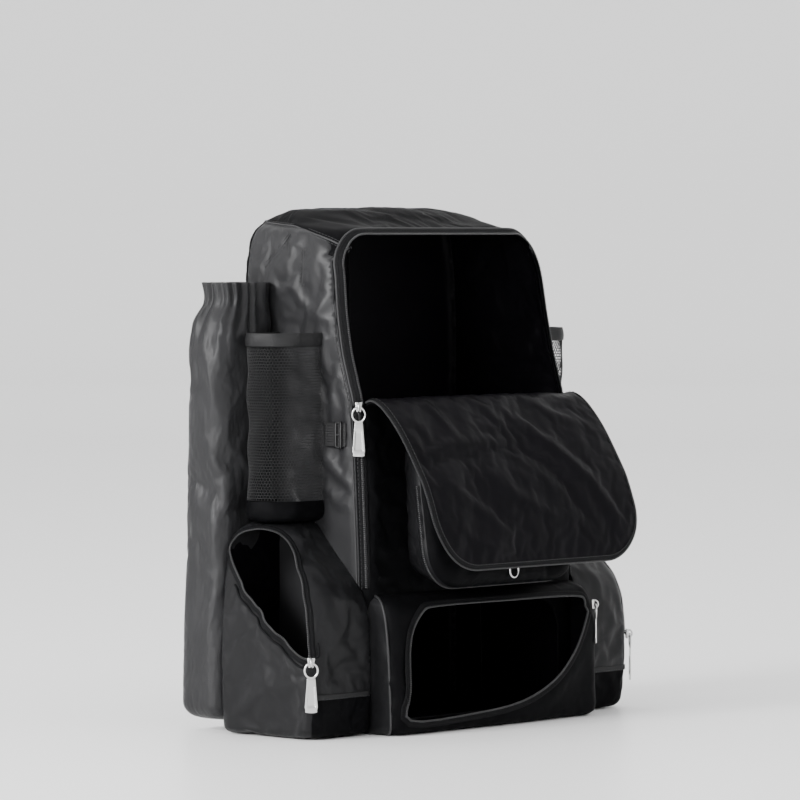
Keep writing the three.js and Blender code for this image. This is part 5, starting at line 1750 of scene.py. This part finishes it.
class BAG_OT_lid(bpy.types.Operator):
    """Sew the lid that hangs folded over the front: its outer cloth, its lining and the zip on its edge."""

    bl_idname = "bag.lid"
    bl_label = "Lid"

    def execute(self, context):
        sizes = context.scene.bag_sizes
        outline = lid_outline(1.5)
        flat, faces, marks = cut_cloth(outline, [], [], 5.4)
        lift = 0.8 * folds_at(LID_FOLDS, flat)
        places = []
        for (a, s), up in zip(flat, lift):
            p, out = lid_point(a, s, 0.0)
            places.append(p + out * (float(up) + lid_droop(a, s)))
        piece = new_piece("lid_core", places, faces, "black", flat)
        if faces and (places[faces[0][1]] - places[faces[0][0]]).cross(places[faces[0][2]]
                - places[faces[0][0]]).dot(lid_point(0, 60)[1]) < 0:
            piece.data.flip_normals()
        sew_down(piece, marks[0])
        settle(piece, sizes.slack * 0.6, 0.0, 0.006, 0.9)
        lining = duplicate(piece, "lid_lining_cloth")
        normals = [v.normal.copy() for v in piece.data.vertices]
        for v, n in zip(lining.data.vertices, normals):
            v.co += n * 3.2 * MM
        lining.data.materials[0] = finish_named("lining")
        finish_wall(piece, 0.0022, None, 1, 1.0)
        piece.name = piece.data.name = "lid_cloth"
        finish_wall(lining, 0.0009, None, 1, 1.0)
        ready(piece, "front_cloth", "lid_panel")
        ready(lining, "lining", "lid_lining")
        edge, normals = [], []
        for a, s in lid_outline(0.2, 4.0):
            p, out = lid_point(a, s, 2.0)
            edge.append(p + out * lid_droop(a, s))
            normals.append(out)
        edge, normals = edge[1:-1], normals[1:-1]
        sign = 1.0 if across_sign(edge, normals) > 0 else -1.0
        bind = sweep("lid_binding", edge, normals, [(sign * x, y) for x, y in [(-3.4, 2.6), (0.6, 2.4), (1.6,
            0.2), (0.6, -2.2), (-3.4, -2.4), (-3.4, -1.9), (0.0, -1.6), (0.9, 0.2), (0.0, 1.9), (-3.4,
            2.1)]][:: int(sign)], "tape")
        teeth = repeated("lid_coil", spots_along(edge, normals, sizes.tooth / MM, sign * 2.4, 0.4), (1.5, 2.2,
            1.7), "teeth")
        threads = stitching("lid_threads", edge, normals, -sign * 2.6, 3.2)
        ready(joined("lid_zip_cloth", [bind, teeth, threads]), "zip", "lid_zip")
        return {"FINISHED"}


# Straps and pads


def side_strap():
    """The left side strap's line along the side, and where its ladder lock sits."""
    back = BOTTLE_MIDDLE - BOTTLE_RADIUS - 3.0 - SEAT
    front = body_front(STRAP_Z) + CORNER
    rows = [(back, 0.5), (back - 8, 0.6), (between(back, front, 0.55), 0.9), (between(back, front, 0.72),
        1.3), (front + 5, 0.7), (front, 0.5)]
    places = evenly([(-SIDE - lift, y, STRAP_Z) for y, lift in rows], 1.5)
    normals = [Vector((-1, 0, 0))] * len(places)
    return places, normals, between(back, front, 0.72)


def webbing_section(width, thick):
    """Flat webbing with its edges beaded and shallow ribs along it."""
    w = width / 2
    top = []
    count = 9
    for k in range(count * 4 + 1):
        a = between(w, -w, k / (count * 4))
        edge = 0.25 if abs(a) > w - 2.2 else 0.0
        top.append((a, thick * (0.86 + 0.14 * math.cos(k * math.pi / 2)) + edge))
    return [(w, 0), *top, (-w, 0)]


def ladder_lock(name, place, ways, width, tall, thick):
    """A ladder lock: a moulded frame with two bars, made lying in X and Z and then put in its place."""
    parts = []
    bars = [((0, 0, tall / 2 - 1.3), (width, thick, 2.6)), ((0, 0, 1.3 - tall / 2), (width, thick, 2.6)),
        ((width / 2 - 1.4, 0, 0), (2.8, thick, tall)), ((1.4 - width / 2, 0, 0), (2.8, thick, tall)), ((0,
        -thick * 0.15, 0), (width, thick * 0.8, 2.4))]
    for spot, size in bars:
        bar = primitive("cube", size=1, location=[c * MM for c in spot], scale=[c * MM for c in size])
        soft = bar.modifiers.new("soft", "BEVEL")
        soft.width, soft.segments = 0.0007, 3
        apply_all(bar)
        parts.append(bar)
    whole = joined(name, parts)
    x, y, z = (Vector(w) for w in ways)
    turn = Matrix((x, y, z)).transposed().to_4x4()
    whole.data.transform(Matrix.Translation(Vector(to_metres(place))) @ turn)
    whole.data.materials.clear()
    whole.data.materials.append(finish_named("plastic"))
    whole.data.shade_smooth()
    return whole


class BAG_OT_side_straps(bpy.types.Operator):
    """Weave the side straps and set their ladder locks."""

    bl_idname = "bag.side_straps"
    bl_label = "Side straps"

    def execute(self, context):
        places, normals, lock_at = side_strap()
        strap = sweep("side_strap_web_left", places, normals, webbing_section(WEBBING, WEBBING_THICK),
            "webbing")
        ends = []
        for index, out in ((3, 1.8), (-4, 1.9)):
            y = places[index].y
            line = [Vector((-SIDE - 0.6, y, z)) for z in np.linspace(STRAP_Z - 11, STRAP_Z + 11, 8)]
            ends.append(stitching("bar_tack", line, [Vector((-1, 0, 0))] * 8, 0, out))
        strap = joined("side_strap_web_left", [strap, *ends])
        lock = ladder_lock("side_lock_left", (-SIDE - 3.6, lock_at, STRAP_Z), ((0, 1, 0), (-1, 0, 0), (0, 0,
            1)), 10.0, 29.0, 2.6)
        for piece, slot, node, name in ((strap, "webbing", "side_strap", "side_strap_web_right"), (lock,
                "plastic", "side_ladder_lock", "side_lock_right")):
            twin = mirrored(piece, name)
            ready(piece, slot, node + "_left")
            ready(twin, slot, node + "_right")
        return {"FINISHED"}


def puffed(name, node, voxel, inset, pressure, limit, channels=()):
    """A pad: the frame's shape swelled with air in a cloth run, its sewn channels pressed in."""
    piece = duplicate(frame["nodes"][node], name)
    without_tags(piece)
    piece.hide_render = piece.hide_viewport = False
    merge_points(piece, 0.0001)
    only(piece)
    remesh = piece.modifiers.new("remesh", "REMESH")
    remesh.mode, remesh.voxel_size = "VOXEL", voxel
    apply_all(piece)
    smooth = piece.modifiers.new("smooth", "SMOOTH")
    smooth.factor, smooth.iterations = 0.5, 6
    apply_all(piece)
    for v, n in zip(piece.data.vertices, [v.normal.copy() for v in piece.data.vertices]):
        v.co -= n * inset * MM
    rest = np.array([v.co for v in piece.data.vertices])
    cloth = piece.modifiers.new("air", "CLOTH")
    cloth.settings.quality = 4
    cloth.settings.use_pressure = True
    cloth.settings.uniform_pressure_force = pressure
    cloth.settings.effector_weights.gravity = 0
    cloth.settings.tension_stiffness = cloth.settings.compression_stiffness = 15
    cloth.settings.bending_stiffness = 0.6
    cloth.settings.shrink_min = -0.01
    cloth.collision_settings.use_collision = False
    cloth.point_cache.frame_start, cloth.point_cache.frame_end = 1, 14
    for number in range(1, 15):
        bpy.context.scene.frame_set(number)
    found = piece.evaluated_get(bpy.context.evaluated_depsgraph_get()).data
    moved = np.array([v.co for v in found.vertices])
    shift = moved - rest
    length = np.linalg.norm(shift, axis=1)
    shift *= np.minimum(1, limit / np.maximum(length, 1e-9))[:, None]
    piece.modifiers.remove(cloth)
    bpy.context.scene.frame_set(1)
    piece.data.vertices.foreach_set("co", (rest + shift).ravel())
    lift = folds_at(channels, [((v.co.x) / MM, v.co.z / MM) for v in piece.data.vertices])
    for v, n, up in zip(piece.data.vertices, [v.normal.copy() for v in piece.data.vertices], lift):
        v.co += n * float(up) * MM
    for v in piece.data.vertices:
        v.co.y = max(v.co.y, (DEPTH / 2 + SEAT) * MM)
    layer = piece.data.uv_layers.new(name="flat") if not piece.data.uv_layers else piece.data.uv_layers[0]
    for loop in piece.data.loops:
        co = piece.data.vertices[loop.vertex_index].co
        layer.data[loop.index].uv = (co.x, co.z)
    piece.data.materials.clear()
    piece.data.materials.append(finish_named("padding"))
    finish_wall(piece, 0, None, 1)
    return piece


class BAG_OT_back(bpy.types.Operator):
    """Pad the back and the shoulder straps, and sew their webbing and the haul loop."""

    bl_idname = "bag.back"
    bl_label = "Back"

    def execute(self, context):
        channels = [([(x, 120), (x, 270), (x, 430)], 5, -4.2) for x in (-44, 44)]
        channels += [([(-110, z), (0, z), (110, z)], 4.5, -3.6) for z in (205, 320)]
        back = puffed("back_pad_mesh", "back_pad", 0.0045, 1.6, 2.5, 0.006, channels)
        ready(back, "padding", "back_pad")
        for side, sign in (("left", -1), ("right", 1)):
            pad = puffed("shoulder_mesh_" + side, "shoulder_pad_" + side, 0.004, 1.4, 2.5, 0.004)
            ready(pad, "padding", "shoulder_pad_" + side)
            end = Vector((sign * 102, 0.82 * 62, 238))
            foot = Vector((sign * 150, SEAT, 50))
            fall = (foot - end).normalized()
            start = end + fall * 4.5 * SEAT
            line = []
            for share in np.linspace(0, 1, 40):
                p = start.lerp(foot, share)
                p.y -= math.sin(share * math.pi) * 4
                p.y = max(p.y, SEAT + 0.2)
                line.append(p)
            normals = [Vector((0, 1, 0))] * len(line)
            web = sweep("strap_web_" + side, evenly(line, 3), [Vector((0, 1, 0))] * len(evenly(line, 3)),
                webbing_section(WEBBING, WEBBING_THICK), "webbing")
            ready(web, "webbing", "strap_webbing_" + side)
            spot = start + fall * 20
            across = Vector((1, 0, 0))
            up = Vector((0, fall.y, fall.z)).normalized() * -1
            lock = ladder_lock("strap_lock_" + side, (spot.x, spot.y + 3.4, spot.z), (across, up.cross(across)
                * -1 if up.cross(across).y < 0 else up.cross(across), up), 33.0, 20.0, 3.6)
            ready(lock, "plastic", "strap_ladder_lock_" + side)
        line = []
        for share in np.linspace(0, 1, 60):
            x = between(-55, 55, share)
            line.append(Vector((x, SEAT + math.sin(share * math.pi) ** 0.7 * 30, HEIGHT - 44.5)))
        normals = [Vector((p.x * 0.4, 30, 0)).normalized() for p in line]
        loop = sweep("haul_web", line, normals, webbing_section(WEBBING, 2.2), "webbing")
        ready(loop, "webbing", "haul_loop")
        return {"FINISHED"}


# Sliders and pulls


def slider_shape():
    """One slider in its own frame: x across, y out of the cloth, z up the zip."""
    plate = primitive("cube", size=1, location=(0, 1.7 * MM, 0), scale=(9 * MM, 3.4 * MM, 11 * MM))
    for v in plate.data.vertices:
        if v.co.z < 0:
            v.co.x *= 0.62
    soft = plate.modifiers.new("soft", "BEVEL")
    soft.width, soft.segments = 0.0013, 4
    apply_all(plate)
    bridge = primitive("torus", major_radius=3.5 * MM, minor_radius=0.85 * MM, major_segments=28,
        minor_segments=12, location=(0, 4.0 * MM, 0), rotation=(0, math.pi / 2, 0))
    for v in bridge.data.vertices:
        v.co.y = 4.0 * MM + (v.co.y - 4.0 * MM) * 1.06
        v.co.x *= 1.5
        v.co.z *= 1.2
    return joined("slider_shape", [plate, bridge])


def pull_shape(tab):
    """One pull hanging from its hinge line: a ring, and a tab of the given length with a raised rim."""
    ring = primitive("torus", major_radius=6.9 * MM, minor_radius=1.1 * MM, major_segments=48,
        minor_segments=14, location=(0, 0, 0), rotation=(math.pi / 2, 0, 0))
    for v in ring.data.vertices:
        v.co.z = v.co.z * 1.12 - 7.9 * MM
        v.co.y *= 0.92
    if not tab:
        return joined("ring_shape", [ring])
    plate = primitive("grid", x_subdivisions=6, y_subdivisions=12, size=1, location=(0, 0, 0))
    top = -15.8 * MM
    for v in plate.data.vertices:
        x, t = v.co.x * 2, v.co.y + 0.5
        half = between(7.5, 4.4, t ** 0.9)
        if t < 0.09:
            half -= 1.1
        v.co = (x * half * MM, 0, top - tab * MM * (1 - t) + (0.9 * MM * (abs(x) ** 3) if t < 0.01 else 0))
    bpy.ops.object.mode_set(mode="EDIT")
    bpy.ops.mesh.select_all(action="SELECT")
    bpy.ops.mesh.normals_make_consistent(inside=False)
    bpy.ops.mesh.extrude_region_move(TRANSFORM_OT_translate={"value": (0, 1.5 * MM, 0)})
    bpy.ops.object.mode_set(mode="OBJECT")
    mesh = plate.data
    for v in mesh.vertices:
        v.co.y -= 0.75 * MM
    bpy.ops.object.mode_set(mode="EDIT")
    bpy.ops.mesh.select_all(action="SELECT")
    bpy.ops.mesh.normals_make_consistent(inside=False)
    bpy.ops.mesh.select_all(action="DESELECT")
    bpy.ops.object.mode_set(mode="OBJECT")
    low, high = top - (tab - 5.2) * MM, top - 9.0 * MM
    for face in mesh.polygons:
        centre = face.center
        inside = abs(centre.x) < (7.5 - 3.1 * ((centre.z - top + tab * MM) / (tab * MM))) * MM * 0.66
        face.select = abs(face.normal.y) > 0.9 and low < centre.z < high and inside
    bpy.ops.object.mode_set(mode="EDIT")
    bpy.ops.mesh.inset(thickness=0.0004, depth=-0.0006)
    bpy.ops.object.mode_set(mode="OBJECT")
    soft = plate.modifiers.new("soft", "BEVEL")
    soft.width, soft.segments, soft.limit_method, soft.angle_limit = 0.00038, 3, "ANGLE", math.radians(38)
    apply_all(plate)
    return joined("pull_shape", [ring, plate])


def copy_to(shape, name, matrix):
    twin = duplicate(shape, name)
    twin.data.transform(matrix)
    twin.data.materials.clear()
    twin.data.materials.append(finish_named("metal"))
    twin.data.shade_smooth()
    return twin


class BAG_OT_pulls(bpy.types.Operator):
    """Cast the sliders and hang a pull on each."""

    bl_idname = "bag.pulls"
    bl_label = "Sliders and pulls"

    def execute(self, context):
        slider = slider_shape()
        shapes = {"long": pull_shape(37), "short": pull_shape(37 * 0.75), "ring": pull_shape(0)}
        for joint in frame["joints"]:
            name = joint["child"].removesuffix("_pull")
            across = Vector(joint["axis"])
            out = Vector((0, 0, 1)).cross(across)
            hinge = Vector(joint["pos_m"])
            turn = Matrix((across, out, (0, 0, 1))).transposed().to_4x4()
            kind = {"shoe": "short", "front_pocket": "ring"}.get(name, "long")
            pull = copy_to(shapes[kind], name + "_pull_metal", Matrix.Translation(hinge) @ turn)
            ready(pull, "metal", name + "_pull", body=name + "_pull")
            base = hinge - out * (3.4 + 1.75) * MM
            made = copy_to(slider, name + "_slider_metal", Matrix.Translation(base) @ turn)
            ready(made, "metal", name + "_slider")
        for shape in [slider, *shapes.values()]:
            bpy.data.objects.remove(shape)
        return {"FINISHED"}


class BAG_OT_stage(bpy.types.Operator):
    """Lay the pale floor, and set the light and the camera."""

    bl_idname = "bag.stage"
    bl_label = "Stage"

    def execute(self, context):
        bpy.ops.object.select_all(action="DESELECT")
        profile = [(0, 0), (7, 0), (8.2, 0.12), (9.2, 0.6), (9.9, 1.5), (10.2, 3.0), (10.3, 7.0)]
        count = 96
        verts, faces = [(0, 0, 0)], []
        for r, z in profile[1:]:
            for k in range(count):
                a = 2 * math.pi * k / count
                verts.append((r * math.cos(a), r * math.sin(a), z))
        for k in range(count):
            faces.append((0, 1 + k, 1 + (k + 1) % count))
        for i in range(len(profile) - 2):
            for k in range(count):
                m = (k + 1) % count
                a = 1 + i * count
                faces.append((a + k, a + count + k, a + count + m, a + m))
        mesh = bpy.data.meshes.new("floor")
        mesh.from_pydata(verts, [], faces)
        mesh.shade_smooth()
        floor = bpy.data.objects.new("floor", mesh)
        context.scene.collection.objects.link(floor)
        mesh.materials.append(finish_named("floor"))
        world = context.scene.world or bpy.data.worlds.new("studio")
        context.scene.world = world
        world.use_nodes = True
        world.node_tree.nodes["Background"].inputs["Color"].default_value = (1, 1, 1, 1)
        world.node_tree.nodes["Background"].inputs["Strength"].default_value = 1.4
        lights = [("key", (-4.3, 0.5, 2.2), 1.5, 340), ("left_fill", (-4.6, -1.4, 0.8), 1.0, 80),
            ("front_fill", (1.6, -4.8, 2.2), 2.0, 25), ("top", (0.6, 1.4, 4.2), 2.4, 40)]
        for name, place, size, power in lights:
            lamp = bpy.data.lights.new(name, "AREA")
            lamp.size, lamp.energy = size, power
            lamp_object = bpy.data.objects.new(name, lamp)
            context.scene.collection.objects.link(lamp_object)
            lamp_object.location = place
            lamp_object.rotation_euler = (Vector((0, 0, 0.3)) - Vector(place)).to_track_quat("-Z",
                "Y").to_euler()
        lens = bpy.data.cameras.new("camera")
        lens.sensor_fit = "HORIZONTAL"
        lens.sensor_width = 36
        lens.lens = 36 * 5001 / 800
        lens.clip_end = 60
        camera = bpy.data.objects.new("camera", lens)
        context.scene.collection.objects.link(camera)
        camera.location = (-4.1110, -3.6950, 0.5390)
        camera.rotation_euler = (math.radians(90 - 1.93), 0, math.radians(-47.926))
        context.scene.camera = camera
        return {"FINISHED"}


class BAG_PT_panel(bpy.types.Panel):
    """Lists the steps of the bag in the sidebar."""

    bl_idname = "BAG_PT_panel"
    bl_label = "Bat backpack"
    bl_space_type = "VIEW_3D"
    bl_region_type = "UI"
    bl_category = "Bat backpack"

    def draw(self, context):
        for step in STEPS:
            self.layout.operator(step.bl_idname)
        for group in (context.scene.bag_sizes, context.scene.bag_colours):
            for key in group.__annotations__:
                self.layout.prop(group, key)


STEPS = (BAG_OT_body, BAG_OT_shoe_box, BAG_OT_front_pocket, BAG_OT_lid, BAG_OT_sleeves, BAG_OT_bottle_pockets,
    BAG_OT_ball_pockets, BAG_OT_side_straps, BAG_OT_back, BAG_OT_pulls, BAG_OT_stage)
CLASSES = (BagSizes, BagColours, *STEPS, BAG_PT_panel)


def register():
    for item in CLASSES:
        bpy.utils.register_class(item)
    bpy.types.Scene.bag_sizes = PointerProperty(type=BagSizes)
    bpy.types.Scene.bag_colours = PointerProperty(type=BagColours)


def unregister():
    del bpy.types.Scene.bag_sizes
    del bpy.types.Scene.bag_colours
    for item in reversed(CLASSES):
        bpy.utils.unregister_class(item)


def main():
    register()
    for step in STEPS:
        getattr(bpy.ops.bag, step.bl_idname.split(".")[1])()


if __name__ == "__main__":
    main()
